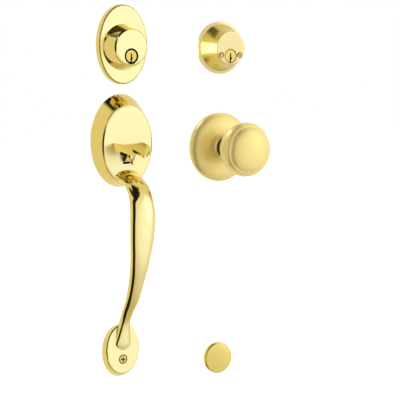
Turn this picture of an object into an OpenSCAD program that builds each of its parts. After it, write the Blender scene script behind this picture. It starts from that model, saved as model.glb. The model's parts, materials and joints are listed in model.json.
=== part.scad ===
// Entry door handleset
// Outside trim on the left: deadbolt cylinder, and a handle with a thumbpiece.
// Inside trim on the right: deadbolt cylinder, knob, and the cap of the lower bolt.
// Every piece lies with its back in the plane of the door face (Y = 0).
// Z is up, X is to the right, and the trim stands out towards -Y.
// The origin is on the door face at the latch, midway between the two posts.

/* [Layout] */
// Distance from the outside column to the inside column
column_gap = 129; // [120:0.5:150]
// Height of the deadbolt cylinders above the latch
deadbolt_rise = 114; // [108:0.2:122]
// Distance of the lower rose below the latch
lower_rose_drop = 226.5; // [222:0.5:236]
// Distance of the inside cap below the latch
cap_drop = 245.5; // [235:0.5:250]

/* [Deadbolt plate] */
// Half width of the oval plate
plate_half_w = 31; // [29:0.5:34]
// Half height of the oval plate
plate_half_h = 44.6; // [40:0.5:48]
// Height of the plate above the door
plate_depth = 7; // [5:0.5:9]
// Sheet thickness of the plate
plate_wall = 1.6; // [1.4:0.1:2]
// Radius of the pressed edge of the plate
plate_edge_r = 2.2; // [1.4:0.1:2.6]
// How far the centre of the plate lies above its cylinder
plate_offset = 3; // [0:0.5:5]

/* [Outside cylinder] */
// Radius of the cylinder where it meets the plate
outer_base_r = 25.8; // [24:0.2:28]
// Radius of its front face
outer_face_r = 20.4; // [19.5:0.1:22]
// Length of the tapered part in front of the plate
outer_taper_len = 18.3; // [16:0.1:21]
// Distance of the plug below the centre of the face
outer_plug_drop = 9.8; // [9:0.1:10.2]
// Radius of the part behind the plate
outer_boss_r = 22.5; // [21:0.1:23.5]

/* [Inside cylinder] */
// Radius of its flange
inner_flange_r = 29.9; // [28:0.1:32]
// Thickness of its flange
inner_flange_t = 2; // [1.5:0.1:3]
// Radius of the cylinder above the flange
inner_base_r = 26.8; // [25:0.1:28]
// Radius of its front face
inner_face_r = 18.7; // [18.4:0.1:20]
// Distance of its front face from the door
inner_len = 24.6; // [23.6:0.1:27]
// Hollow of the flared side
inner_flare = 1.1; // [0:0.1:1.6]
// Distance of the plug below the centre of the face
inner_plug_drop = 9.2; // [8.8:0.1:9.4]

/* [Lock core] */
// Radius of the plugs
plug_r = 7.35; // [7:0.05:7.5]
// Radius of the recess round a plug
plug_recess_r = 8.2; // [8:0.05:8.4]
// Depth of the recess round a plug
plug_recess_depth = 1.1; // [0.6:0.1:1.6]
// How far a plug lies behind the face
plug_inset = 0.3; // [0.1:0.1:0.6]
// Length of a plug behind the door plane
plug_tail_len = 3.4; // [3:0.1:4]
// Width of the keyway
keyway_w = 1.7; // [1.4:0.1:2]
// Radius of the pins
pin_r = 1.3; // [1.1:0.05:1.4]
// Number of pins
pin_count = 5; // [4:1:5]
// Spacing of the pins
pin_pitch = 3.8; // [3.4:0.1:3.9]
// Distance from the face to the first pin
first_pin = 6; // [5.5:0.1:6.5]
// Length of the driver pins
driver_len = 3.4; // [3:0.1:4]
// Length of the springs behind the driver pins
pin_spring_len = 6.2; // [5:0.1:7]
// Wire thickness of the pin springs
pin_spring_wire = 0.45; // [0.35:0.05:0.6]
// Width of the strip that closes the pin chambers
cover_w = 4; // [3.6:0.1:4.6]
// Thickness of the strip
cover_t = 1.3; // [1:0.1:1.6]
// Width of a tailpiece
tail_w = 6; // [5:0.1:6.4]
// Thickness of a tailpiece
tail_t = 2.4; // [2:0.1:3]
// Length of the tailpieces behind the door plane
tail_len = 44; // [36:1:48]
// Thickness of the retaining rings of the plugs
clip_t = 1; // [0.8:0.1:1.2]
// Width of the retaining rings of the plugs
clip_w = 2.4; // [2:0.1:2.5]
// Depth of the groove that the ring sits in
groove_depth = 1.2; // [1:0.1:1.4]

/* [Deadbolt screws] */
// Half of the distance between the two screws
bolt_half_gap = 12.2; // [12:0.1:12.4]
// Distance of the screws below the centre of the cylinder
bolt_drop = 8.2; // [8:0.1:8.4]
// Radius of the screw shank
bolt_r = 2.1; // [1.9:0.05:2.2]
// Radius of the screw head
bolt_head_r = 3.3; // [3:0.1:3.4]
// Height of the screw head
bolt_head_h = 2; // [1.6:0.1:2.4]
// Length of the screws behind the door plane
bolt_reach = 18; // [12:1:20]
// Radius of the threaded posts of the outside cylinder
post_r = 3.4; // [3.2:0.1:3.6]
// Length of the threaded posts behind the door plane
post_len = 17; // [12:1:20]

/* [Handle plate] */
// Half width of the plate at the door
handle_half_w = 37.5; // [36:0.5:39]
// Half height of the plate at the door
handle_half_h = 52; // [50:0.5:54]
// Size of the front face as a share of the back
handle_taper = 0.838; // [0.82:0.002:0.86]
// Distance of the front face from the door
handle_depth = 18; // [17:0.5:19]
// Height of the centre of the back above the latch
handle_offset = 9.8; // [8:0.2:11]
// How far the front face lies lower than the back
handle_lean = 3.8; // [2:0.2:5]
// Wall thickness of the casting
handle_wall = 2.6; // [2.2:0.1:3]

/* [Grip] */
// Greatest distance of the middle of the grip from the door
grip_reach = 52.9; // [50:0.1:55]
// Greatest width of the grip
grip_w = 30.8; // [28:0.2:32]
// Thickness of the grip
grip_t = 13; // [11:0.2:14]
// Height where the grip leaves the handle plate, below the latch
grip_root_drop = 31; // [30:0.5:32.5]

/* [Lower rose] */
// Half width of the lower rose
rose_half_w = 22.2; // [21:0.1:24]
// Half height of the lower rose
rose_half_h = 29.8; // [28:0.1:31]
// Distance of its face from the door
rose_depth = 8.9; // [8:0.1:10]
// Size of its face as a share of its back
rose_taper = 0.95; // [0.92:0.005:0.97]
// How far its face lies higher than its back
rose_lean = 2.4; // [1.6:0.1:3.2]
// Distance of the screw below the centre of the lower rose
lower_screw_drop = 9.1; // [8:0.1:10]
// Radius of the screw head
lower_head_r = 4.2; // [3.8:0.1:4.6]
// Radius of the screw shank
lower_screw_r = 2.1; // [1.8:0.1:2.4]
// Length of the screw behind the door plane
lower_screw_len = 30; // [20:1:32]

/* [Thumbpiece] */
// Half width of the pad
pad_half_w = 22; // [20:0.5:25]
// Length of the pad in front of the handle plate
pad_len = 25; // [23:0.5:28]
// Thickness of the pad
pad_t = 3.2; // [2.6:0.1:3.8]
// Slope of the pad in degrees
pad_slope = 25; // [20:1:30]
// Height of the back edge of the pad above the latch
pad_rise = 7; // [6:0.2:8]
// Width of the stem
stem_w = 11; // [9:0.2:12]
// Thickness of the stem where it passes the slot
stem_t = 4.4; // [4:0.1:4.8]
// Distance of the pivot from the door
pivot_depth = 9; // [8.5:0.1:9.5]
// Distance of the pivot below the latch
pivot_drop = 12; // [11.5:0.1:12.5]
// Radius of the pivot pin
pivot_r = 1.5; // [1.3:0.1:1.8]
// Radius of the hub on the pin
hub_r = 4; // [3.6:0.1:4.2]
// Width of the tail behind the pivot
lift_w = 6; // [5:0.2:7]
// Length of the tail behind the door plane
lift_len = 9; // [8.6:0.1:9.4]

/* [Latch lever] */
// Half of the distance between the two posts
latch_half_gap = 19; // [18:0.5:20]
// Radius of the posts where the bracket seats
latch_post_r = 5; // [4.6:0.1:5.4]
// Radius of the thin end of the posts
latch_post_end_r = 3.5; // [3.2:0.1:3.8]
// Length of the posts behind the door plane
latch_post_len = 25; // [18:1:25]
// Radius of the threaded bore of the posts
latch_bore_r = 1.7; // [1.5:0.05:1.9]
// Length of the thick part of the posts behind the door plane
latch_seat = 4; // [3.6:0.1:4.2]
// Thickness of the bracket
bracket_t = 2; // [1.8:0.1:2.2]
// Height of the bracket
bracket_h = 15.5; // [15:0.1:16.5]
// Distance of its lower edge below the latch
bracket_low = 6.5; // [6:0.1:7]
// How far it reaches past the middle of a post
bracket_end = 7; // [6:0.5:8]
// Distance of the rivet to the side of the latch
rivet_side = 10; // [9.5:0.1:10.2]
// Height of the rivet above the latch
rivet_rise = 3; // [2.6:0.1:3.4]
// Radius of the rivet
rivet_r = 2; // [1.6:0.1:2.2]
// Thickness of the lever
lever_t = 1.8; // [1.6:0.1:2]

/* [Knob] */
// Radius of the rose
knob_rose_r = 39.4; // [37:0.1:41]
// Height of the straight rim of the rose
knob_rim = 2.6; // [2:0.1:3.2]
// Height of the dome of the rose
knob_dome = 11.6; // [10.5:0.1:12.5]
// Sheet thickness of the rose
knob_rose_t = 1.2; // [1:0.1:1.4]
// Radius of the collar of the rose
collar_r = 14.4; // [14:0.1:15.5]
// Distance of the top of the collar from the door
collar_depth = 17; // [16.4:0.1:17.6]
// Radius of the neck of the knob
neck_r = 10.3; // [10:0.1:10.6]
// Greatest radius of the knob
knob_r = 30.6; // [29:0.1:32]
// Distance of the greatest radius from the door
knob_mid = 57; // [55:0.5:60]
// Distance of the crease in front of the greatest radius
crease_step = 9.5; // [8:0.5:11]
// Radius of the crease round the front dome
crease_r = 26; // [25:0.1:27]
// Height of the front dome above the crease
dome_rise = 8; // [6:0.5:10]
// Sheet thickness of the knob
knob_t = 1.5; // [1.2:0.1:1.8]
// Radius of the shank
shank_r = 8.8; // [8.4:0.1:9]
// Length of the shank inside the knob
shank_in = 20; // [16:1:24]
// Wall of the bearing tube of the rose plate
bearing_wall = 1.5; // [1.3:0.1:1.6]
// Radius of the rose plate
back_plate_r = 35; // [33:0.5:36]
// Thickness of the rose plate
back_plate_t = 2.2; // [1.8:0.1:2.6]
// Radius of the spindle
spindle_r = 4; // [3.5:0.1:4.5]
// Length of the spindle behind the door plane
spindle_len = 46; // [36:1:48]
// Wire thickness of the return spring
knob_spring_wire = 1.4; // [1.1:0.1:1.6]
// Turns of the return spring
knob_spring_turns = 3; // [2:1:4]
// Length of the screws of the rose plate behind the door plane
rose_screw_len = 24; // [18:1:26]
// Radius of the heads of these screws
rose_head_r = 3.9; // [3.4:0.1:4.2]
// Height of the heads of these screws
rose_head_h = 2.4; // [1.8:0.1:2.8]
// Radius of the two keying holes of the rose plate
key_hole_r = 3; // [2:0.5:4]

/* [Cap] */
// Radius of the cap
cap_r = 18.2; // [17:0.1:20]
// Height of the cap
cap_h = 6.8; // [6:0.1:8]
// Sheet thickness of the cap
cap_wall = 1.5; // [1.2:0.1:1.8]
// Radius of the rounded rim of the cap
cap_edge_r = 2.2; // [1.6:0.1:2.6]
// Height of the dome of the cap above its rim
cap_dome = 2; // [1.4:0.1:2.4]
// Radius of the threaded barrel
barrel_r = 5; // [4.4:0.1:5.6]
// Radius of the bore of the barrel
barrel_bore_r = 2.3; // [2:0.1:2.6]
// Length of the barrel behind the door plane
barrel_len = 21; // [14:1:22]

/* [Fits] */
// Clearance round what turns
turn_gap = 0.15; // [0.1:0.05:0.2]
// Clearance round what is pushed in
push_gap = 0.05; // [0.02:0.01:0.08]
// Clearance between stamped pieces
sheet_gap = 0.3; // [0.2:0.05:0.4]
// How much thinner the neck under a screw head is than the thread
neck_cut = 0.3; // [0.2:0.05:0.4]
// Distance from the door plane to the start of a thread
thread_start = 0.5; // [0.4:0.1:0.8]

/* [Hidden] */
$fn = 96;
tiny = 0.01;

outer_face = plate_depth + outer_taper_len;
outer_plug_z = deadbolt_rise - outer_plug_drop;
inner_plug_z = deadbolt_rise - inner_plug_drop;
bore_r = pin_r + 0.1;
shear_r = plug_r + turn_gap;
driver_low = shear_r + push_gap;
spring_low = driver_low + driver_len + push_gap;
cover_low = spring_low + pin_spring_len + push_gap;
groove_in_r = plug_r - groove_depth;
clip_out_r = groove_in_r + push_gap + clip_w;
clip_room = clip_t + 2 * sheet_gap;
brass = "#ead67f";
bright = "#fff6c0";
gold = "#dcc36a";
steel = "#b9bcc0";
dark = "#6d6a64";

// Places children with their z axis towards the front and their y axis up
module front(x = 0, z = 0, d = 0) {
    translate([x, -d, z]) rotate([90, 0, 0]) children();
}

// Oval block through rings of half width, half height, distance and shift
module oval_stack(rings, n = 72) {
    last = (len(rings) - 1) * n;
    polyhedron(
        points = [for (r = rings) for (s = [0 : n - 1])
            [r[0] * cos(360 * s / n), r[3] + r[1] * sin(360 * s / n), r[2]]],
        faces = concat(
            [for (k = [0 : n : last - n]) for (s = [0 : n - 1])
                [k + s, k + n + s, k + n + (s + 1) % n, k + (s + 1) % n]],
            [[for (s = [0 : n - 1]) s]],
            [[for (s = [n - 1 : -1 : 0]) last + s]]));
}

// Oval block whose front is smaller and leans down by shift
module oval(a, b, h, taper, shift = 0) {
    oval_stack([[a, b, 0, 0], [a * taper, b * taper, h, -shift]]);
}

// Round bar along the local y axis
module upright(r, h) {
    rotate([-90, 0, 0]) cylinder(r = r, h = h);
}

// Cross recess of a screw
module cross_recess(r, deep) {
    for (a = [0, 90])
        rotate([0, 0, a])
            translate([-r, -r * 0.22, -deep])
                cube([2 * r, r * 0.44, deep + 1]);
}

// Coil wound along z
module coil(r, wire, h, turns, sides = 6, steps = 10) {
    n = round(turns * steps);
    w = wire / 2;
    polyhedron(
        points = [for (k = [0 : n]) for (s = [0 : sides - 1])
            let(a = 360 * turns * k / n, t = 360 * s / sides, q = r + w * cos(t))
            [q * cos(a), q * sin(a), w + (h - wire) * k / n + w * sin(t)]],
        faces = concat(
            [for (k = [0 : n - 1]) for (s = [0 : sides - 1])
                let(i = k * sides, m = (s + 1) % sides) [i + s, i + m, i + sides + m]],
            [for (k = [0 : n - 1]) for (s = [0 : sides - 1])
                let(i = k * sides, m = (s + 1) % sides) [i + s, i + sides + m, i + sides + s]],
            [[for (s = [sides - 1 : -1 : 0]) s]],
            [[for (s = [0 : sides - 1]) n * sides + s]]));
}

// Zigzag slot of the key, open below
module keyway() {
    w = keyway_w;
    polygon([[-w / 2, plug_r * 0.42], [w / 2, plug_r * 0.42], [w / 2, -plug_r * 0.1],
        [w * 0.95, -plug_r * 0.22], [w * 0.95, -plug_r * 0.5], [w * 0.3, -plug_r * 0.62],
        [w * 0.3, -plug_r - 1], [-w * 0.75, -plug_r - 1], [-w * 0.75, -plug_r * 0.4],
        [-w / 2, -plug_r * 0.25]]);
}

// Positions of the pins from the front face
module each_pin(face) {
    for (i = [0 : pin_count - 1])
        translate([0, 0, face - first_pin - i * pin_pitch]) children();
}

// Plug with keyway, pin holes, groove and tailpiece slot
module plug(face) {
    difference() {
        translate([0, 0, -plug_tail_len]) cylinder(r = plug_r, h = face - plug_inset + plug_tail_len);
        translate([0, 0, 2.2]) linear_extrude(height = face) keyway();
        each_pin(face) upright(bore_r, plug_r + 1);
        translate([0, 0, sheet_gap - push_gap])
            difference() {
                cylinder(r = plug_r + 1, h = clip_t + 2 * push_gap);
                translate([0, 0, -1]) cylinder(r = groove_in_r, h = clip_t + 3);
            }
        translate([-tail_w / 2 - push_gap, -tail_t / 2 - push_gap, -plug_tail_len - 1])
            cube([tail_w + 2 * push_gap, tail_t + 2 * push_gap, plug_tail_len + 1]);
    }
}

// Key pins held at the shear line
module key_pins(face) {
    each_pin(face) {
        upright(pin_r * 0.55, 2);
        translate([0, 0.6, 0]) rotate([-90, 0, 0])
            cylinder(r1 = pin_r * 0.55, r2 = pin_r, h = 1);
        translate([0, 1.6, 0]) upright(pin_r, plug_r - push_gap - 1.6);
    }
}

module driver_pins(face) {
    each_pin(face) translate([0, driver_low, 0]) upright(pin_r, driver_len);
}

module pin_springs(face) {
    each_pin(face) translate([0, spring_low, 0]) rotate([-90, 0, 0])
        coil(pin_r - pin_spring_wire / 2 - 0.1, pin_spring_wire, pin_spring_len, 4.5, 5, 8);
}

// Strip that closes the pin chambers, pushed in from behind
module pin_cover(face) {
    translate([-cover_w / 2, cover_low, sheet_gap])
        cube([cover_w, cover_t, face - first_pin + bore_r - sheet_gap]);
}

// Room for the plug, its pins and the strip
module core_bores(face) {
    translate([0, 0, -1]) cylinder(r = shear_r, h = face + 2);
    translate([0, 0, -1]) cylinder(r = clip_out_r + sheet_gap, h = clip_room + 1);
    translate([0, 0, face - plug_recess_depth])
        cylinder(r1 = shear_r, r2 = shear_r + (plug_recess_r - shear_r) * (plug_recess_depth + 1)
            / plug_recess_depth, h = plug_recess_depth + 1);
    each_pin(face) upright(bore_r, cover_low + tiny);
    translate([-cover_w / 2 - push_gap, cover_low - push_gap / 2, -1])
        cube([cover_w + 2 * push_gap, cover_t + push_gap, face - first_pin + bore_r + 1 + push_gap]);
}

// Open ring in the groove of a plug, in a recess of the back of the cylinder
module plug_clip() {
    gap = clip_out_r * 0.4;
    translate([0, 0, sheet_gap])
        difference() {
            cylinder(r = clip_out_r, h = clip_t);
            translate([0, 0, -1]) cylinder(r = groove_in_r + push_gap, h = clip_t + 2);
            translate([-gap, -2 * clip_out_r, -1]) cube([2 * gap, 2 * clip_out_r, clip_t + 2]);
        }
}

module tailpiece() {
    translate([-tail_w / 2, -tail_t / 2, -tail_len])
        difference() {
            cube([tail_w, tail_t, tail_len - sheet_gap]);
            for (z = [tail_len * 0.25 : 6 : tail_len * 0.7])
                for (x = [-1, tail_w])
                    translate([x, -1, z]) cube([1.6, tail_t + 2, 0.8]);
        }
}

// Machine screw with a cross recess, its head seated at z = 0 and a thinner neck under it
module screw(r, head_r, head_h, neck, reach) {
    difference() {
        union() {
            translate([0, 0, -reach]) cylinder(r = r, h = reach - neck);
            translate([0, 0, -neck - tiny]) cylinder(r = r - neck_cut, h = neck + 2 * tiny);
            cylinder(r = head_r, h = head_h * 0.55);
            translate([0, 0, head_h * 0.55]) cylinder(r1 = head_r, r2 = head_r * 0.62, h = head_h * 0.45);
        }
        translate([0, 0, head_h]) cross_recess(head_r * 0.52, head_h * 0.7);
    }
}

// Pressed oval plate, hollow behind, with a round hole for the cylinder
module deadbolt_plate() {
    e = plate_edge_r;
    w = plate_wall;
    a = plate_half_w;
    b = plate_half_h;
    color(brass) front(0, deadbolt_rise)
        difference() {
            translate([0, plate_offset, 0])
                oval_stack(concat([[a, b, 0, 0]], [for (t = [0 : 30 : 90])
                    let(c = e * (1 - cos(t))) [a - c, b - c, plate_depth - e + e * sin(t), 0]]));
            translate([0, plate_offset, -tiny])
                oval(a - w, b - w, plate_depth - w + tiny, 1);
            translate([0, 0, -1]) cylinder(r = outer_boss_r + sheet_gap, h = plate_depth + 2);
        }
}

// Tapered cylinder with the bore of the plug and two threaded posts behind
module deadbolt_housing() {
    color(brass) front(0, deadbolt_rise)
        difference() {
            union() {
                cylinder(r = outer_boss_r, h = plate_depth + tiny);
                translate([0, 0, plate_depth])
                    cylinder(r1 = outer_base_r, r2 = outer_face_r, h = outer_taper_len);
                for (s = [-1, 1])
                    translate([s * bolt_half_gap, -bolt_drop, -post_len])
                        cylinder(r = post_r, h = post_len + tiny);
            }
            translate([0, -outer_plug_drop, 0]) core_bores(outer_face);
            for (s = [-1, 1])
                translate([s * bolt_half_gap, -bolt_drop, -post_len - 1])
                    cylinder(r = bolt_r - 0.2, h = post_len + 9);
        }
}

module deadbolt_plug() {
    color(bright) front(0, outer_plug_z) plug(outer_face);
}

module deadbolt_key_pins() {
    color(gold) front(0, outer_plug_z) key_pins(outer_face);
}

module deadbolt_driver_pins() {
    color(gold) front(0, outer_plug_z) driver_pins(outer_face);
}

module deadbolt_pin_springs() {
    color(steel) front(0, outer_plug_z) pin_springs(outer_face);
}

module deadbolt_pin_cover() {
    color(gold) front(0, outer_plug_z) pin_cover(outer_face);
}

module deadbolt_clip() {
    color(steel) front(0, outer_plug_z) plug_clip();
}

module deadbolt_tailpiece() {
    color(steel) front(0, outer_plug_z) tailpiece();
}

// Stations of the grip: distance from the door, height, half width, half thickness
rose_z = -lower_rose_drop;
root_z = -grip_root_drop;
fall = lower_rose_drop - grip_root_drop;
gw = grip_w / 2;
gt = grip_t / 2;
grip_stations = [
    [handle_depth - 5, root_z + 1, gw * 0.9, gt],
    [handle_depth + 2, root_z, gw * 0.9, gt],
    [grip_reach * 0.58, root_z - fall * 0.015, gw * 0.88, gt],
    [grip_reach * 0.76, root_z - fall * 0.047, gw * 0.88, gt],
    [grip_reach * 0.89, root_z - fall * 0.092, gw * 0.91, gt],
    [grip_reach * 0.97, root_z - fall * 0.15, gw * 0.96, gt],
    [grip_reach, root_z - fall * 0.225, gw, gt],
    [grip_reach * 0.97, root_z - fall * 0.335, gw * 0.935, gt],
    [grip_reach * 0.895, root_z - fall * 0.45, gw * 0.77, gt * 0.97],
    [grip_reach * 0.76, root_z - fall * 0.567, gw * 0.62, gt * 0.92],
    [grip_reach * 0.58, root_z - fall * 0.68, gw * 0.52, gt * 0.85],
    [grip_reach * 0.4, root_z - fall * 0.75, gw * 0.45, gt * 0.78],
    [rose_depth + 4.6, rose_z + rose_half_h * 1.22, gw * 0.4, gt * 0.72],
    [rose_depth + 1.8, rose_z + rose_half_h * 0.88, gw * 0.44, gt * 0.6],
    [rose_depth + 0.4, rose_z + rose_half_h * 0.55, gw * 0.6, gt * 0.5],
    [rose_depth - 0.8, rose_z + rose_half_h * 0.26, gw * 0.66, gt * 0.42],
    [rose_depth - 2.8, rose_z - rose_half_h * 0.04, gw * 0.42, gt * 0.26]];

// Smooth curve through the stations
function along(p, u) =
    let(n = len(p), i = min(floor(u), n - 2), t = u - i,
        a = p[max(i - 1, 0)], b = p[i], c = p[i + 1], d = p[min(i + 2, n - 1)])
    0.5 * (2 * b + (c - a) * t + (2 * a - 5 * b + 4 * c - d) * t * t
        + (3 * b - a - 3 * c + d) * t * t * t);

// Bar of oval section swept along stations of depth, height, half width and half thickness
module swept_bar(p, steps, sides) {
    rings = (len(p) - 1) * steps;
    q = [for (k = [0 : rings]) along(p, k / steps)];
    dir = [for (k = [0 : rings])
        let(v = q[min(k + 1, rings)] - q[max(k - 1, 0)]) [v[0], v[1]] / norm([v[0], v[1]])];
    pts = [for (k = [0 : rings]) for (s = [0 : sides - 1])
        let(t = 360 * s / sides, a = q[k][2] * cos(t), b = q[k][3] * sin(t))
        [a, -(q[k][0] + b * dir[k][1]), q[k][1] - b * dir[k][0]]];
    ends = [[0, -q[0][0], q[0][1]], [0, -q[rings][0], q[rings][1]]];
    n = len(pts);
    polyhedron(points = concat(pts, ends), faces = concat(
        [for (k = [0 : rings - 1]) for (s = [0 : sides - 1])
            let(m = (s + 1) % sides, i = k * sides)
            [i + s, i + sides + m, i + sides + s]],
        [for (k = [0 : rings - 1]) for (s = [0 : sides - 1])
            let(m = (s + 1) % sides, i = k * sides)
            [i + s, i + m, i + sides + m]],
        [for (s = [0 : sides - 1]) [(s + 1) % sides, s, n]],
        [for (s = [0 : sides - 1])
            [rings * sides + s, rings * sides + (s + 1) % sides, n + 1]]));
}

slot_low = pivot_drop + stem_t;
slot_high = pivot_drop - stem_t - 0.4;
lug_in = stem_w / 2 + 3.4;
lug_t = 3;

// Casting of the handle: oval plate, grip and lower rose in one piece
module handle_casting() {
    inner_d = handle_depth - handle_wall;
    a = handle_half_w - handle_wall;
    b = handle_half_h - handle_wall;
    k = handle_half_w * (1 - (1 - handle_taper) * inner_d / handle_depth) - handle_wall;
    color(brass)
        difference() {
            union() {
                difference() {
                    front(0, handle_offset)
                        oval(handle_half_w, handle_half_h, handle_depth, handle_taper, handle_lean);
                    front(0, handle_offset, -tiny)
                        oval(a, b, inner_d + tiny, k / a, handle_lean * inner_d / handle_depth);
                }
                swept_bar(grip_stations, 2, 20);
                front(0, rose_z) oval(rose_half_w, rose_half_h, rose_depth, rose_taper, -rose_lean);
                for (s = [-1, 1]) {
                    front(s * latch_half_gap, 0, -latch_seat)
                        cylinder(r = latch_post_r, h = latch_seat + inner_d + 1);
                    front(s * latch_half_gap, 0, -latch_post_len)
                        cylinder(r = latch_post_end_r, h = latch_post_len);
                    translate([s > 0 ? lug_in : -lug_in - lug_t, -inner_d - 1, -pivot_drop - hub_r])
                        cube([lug_t, inner_d + 1 - pivot_depth + hub_r, 2 * hub_r]);
                }
            }
            for (s = [-1, 1])
                front(s * latch_half_gap, 0, -latch_post_len - 1)
                    cylinder(r = latch_bore_r, h = latch_post_len + 9);
            translate([-stem_w / 2 - 0.7, -handle_depth - 1, -slot_low])
                cube([stem_w + 1.4, handle_wall + 4, slot_low - slot_high]);
            translate([-lug_in - lug_t - 1, -pivot_depth, -pivot_drop]) rotate([0, 90, 0])
                cylinder(r = pivot_r + push_gap, h = 2 * (lug_in + lug_t + 1));
            front(0, rose_z - lower_screw_drop, -1)
                cylinder(r = lower_screw_r + sheet_gap, h = rose_depth + 2);
            front(0, rose_z - lower_screw_drop, rose_depth - lower_head_r + lower_screw_r)
                cylinder(r1 = lower_screw_r + push_gap, r2 = lower_head_r + 1 + push_gap,
                    h = lower_head_r - lower_screw_r + 1);
        }
}

// Side outline of the stem, hub and tail: x is the distance from the door, y the height
module stem_outline() {
    d = handle_depth;
    z = -pivot_drop;
    polygon([[-lift_len, z + 1.6], [-lift_len, z + 5], [pivot_depth - 6, z + 5],
        [pivot_depth, z + hub_r], [d - 0.8, z + hub_r], [d + 1.6, z + hub_r + 1.2],
        [d + 2.4, z + 9], [d + 2, pad_rise - pad_t * 0.6], [d + 11.5, pad_rise - 6.6],
        [d + 8.6, pad_rise - 11], [d + 6.6, z + 3.6], [d + 4.4, z + 0.9],
        [d + 1.4, z - 0.4], [pivot_depth, z - 0.4], [pivot_depth - 5, z - 0.4]]);
}

// Pad: a sloping saddle with two lobes in front and a hollow for the thumb
module pad() {
    cols = 16;
    rows = 8;
    w = pad_half_w;
    l = pad_len;
    s = tan(pad_slope);
    function plan(i, j) = let(u = 2 * i / cols - 1, v = j / rows,
        half = w * (0.8 + 0.2 * sin(180 * v)) * (v < 0.5 ? 1 : 1 - 0.52 * pow(2 * v - 1, 2)),
        back = 1.2, tip = l * (1 - 0.1 * cos(180 * u) - 0.12 * pow(abs(u), 2)))
        [u * half, back + (tip - back) * v];
    function top(p) = pad_rise - s * p[1] + 3.2 * pow(p[0] / w, 2) * (1 - 0.9 * p[1] / l)
        - 0.5 * cos(180 * (p[1] / l - 0.5));
    m = cols + 1;
    n = m * (rows + 1);
    up = [for (j = [0 : rows]) for (i = [0 : cols]) let(p = plan(i, j))
        [p[0], -handle_depth - p[1], top(p)]];
    low = [for (q = up) q - [0, 0, pad_t]];
    rim = concat([for (i = [0 : cols - 1]) i], [for (j = [0 : rows - 1]) j * m + cols],
        [for (i = [cols : -1 : 1]) rows * m + i], [for (j = [rows : -1 : 1]) j * m]);
    k = len(rim);
    polyhedron(points = concat(up, low), faces = concat(
        [for (j = [0 : rows - 1]) for (i = [0 : cols - 1]) let(a = j * m + i)
            [a, a + m + 1, a + m]],
        [for (j = [0 : rows - 1]) for (i = [0 : cols - 1]) let(a = j * m + i)
            [a, a + 1, a + m + 1]],
        [for (j = [0 : rows - 1]) for (i = [0 : cols - 1]) let(a = n + j * m + i)
            [a, a + m, a + m + 1]],
        [for (j = [0 : rows - 1]) for (i = [0 : cols - 1]) let(a = n + j * m + i)
            [a, a + m + 1, a + 1]],
        [for (i = [0 : k - 1]) let(a = rim[i], b = rim[(i + 1) % k]) [a, b + n, b]],
        [for (i = [0 : k - 1]) let(a = rim[i], b = rim[(i + 1) % k]) [a, a + n, b + n]]));
}

// Thumbpiece: pad, stem through the slot, hub on the pivot and tail behind the door plane
module thumbpiece() {
    color(gold)
        difference() {
            union() {
                pad();
                intersection() {
                    rotate([90, 0, -90]) linear_extrude(height = stem_w, center = true)
                        stem_outline();
                    union() {
                        translate([-stem_w / 2 - 1, -handle_depth - 40, -40])
                            cube([stem_w + 2, 40 + handle_depth - pivot_depth + 5, 80]);
                        translate([-lift_w / 2, -handle_depth, -40])
                            cube([lift_w, handle_depth + 30, 80]);
                    }
                }
                translate([-stem_w / 2, -pivot_depth, -pivot_drop]) rotate([0, 90, 0])
                    cylinder(r = hub_r, h = stem_w);
            }
            translate([-stem_w, -pivot_depth, -pivot_drop]) rotate([0, 90, 0])
                cylinder(r = pivot_r + turn_gap, h = 2 * stem_w);
        }
}

module thumbpiece_pin() {
    color(steel) translate([-lug_in - lug_t, -pivot_depth, -pivot_drop]) rotate([0, 90, 0])
        cylinder(r = pivot_r, h = 2 * (lug_in + lug_t));
}

// Torsion spring on the pivot pin beside the hub
module thumbpiece_spring() {
    color(steel) translate([stem_w / 2 + 0.5, -pivot_depth, -pivot_drop]) rotate([0, 90, 0])
        coil(2.6, 0.8, lug_in - stem_w / 2 - 0.9, 2, 6, 14);
}

// Strap across the posts that carries the lever
module latch_bracket() {
    color(steel)
        difference() {
            translate([-latch_half_gap - bracket_end, latch_seat, -bracket_low])
                cube([2 * (latch_half_gap + bracket_end), bracket_t, bracket_h]);
            for (s = [-1, 1])
                front(s * latch_half_gap, 0, -latch_seat - bracket_t - 1)
                    cylinder(r = latch_post_end_r + push_gap, h = bracket_t + 2);
            front(-rivet_side, rivet_rise, -latch_seat - bracket_t - 1)
                cylinder(r = rivet_r + push_gap, h = bracket_t + 2);
            translate([-lift_w * 0.75, latch_seat - 1, -bracket_low - 1])
                cube([lift_w * 1.5, bracket_t + 2, bracket_low * 0.6 + 1]);
        }
}

lever_back = latch_seat + bracket_t + sheet_gap;

// Lever that the tail of the thumbpiece lifts
module latch_lever() {
    color(steel) front(0, 0, -lever_back - lever_t)
        difference() {
            union() {
                translate([-rivet_side, rivet_rise, 0]) cylinder(r = 4.8, h = lever_t);
                linear_extrude(height = lever_t)
                    polygon([[-rivet_side, rivet_rise + 4.6], [12, rivet_rise + 3], [12, -1],
                        [2.4, -2.4], [2.4, -pivot_drop + 6.6], [-0.6, -pivot_drop + 5.3],
                        [-2.4, -pivot_drop + 6.2], [-3.4, -1.9], [-rivet_side, rivet_rise - 4.6]]);
            }
            translate([-rivet_side, rivet_rise, -1]) cylinder(r = rivet_r + turn_gap, h = lever_t + 2);
            translate([6.5, 0.2, -1]) cube([3.4, 3.4, lever_t + 2]);
        }
}

module latch_rivet() {
    color(dark) front(-rivet_side, rivet_rise, -lever_back - lever_t - sheet_gap - 1.4) {
        cylinder(r = rivet_r + 1.3, h = 1.4);
        cylinder(r = rivet_r, h = 1.4 + sheet_gap + lever_t + sheet_gap + bracket_t);
    }
}

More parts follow.
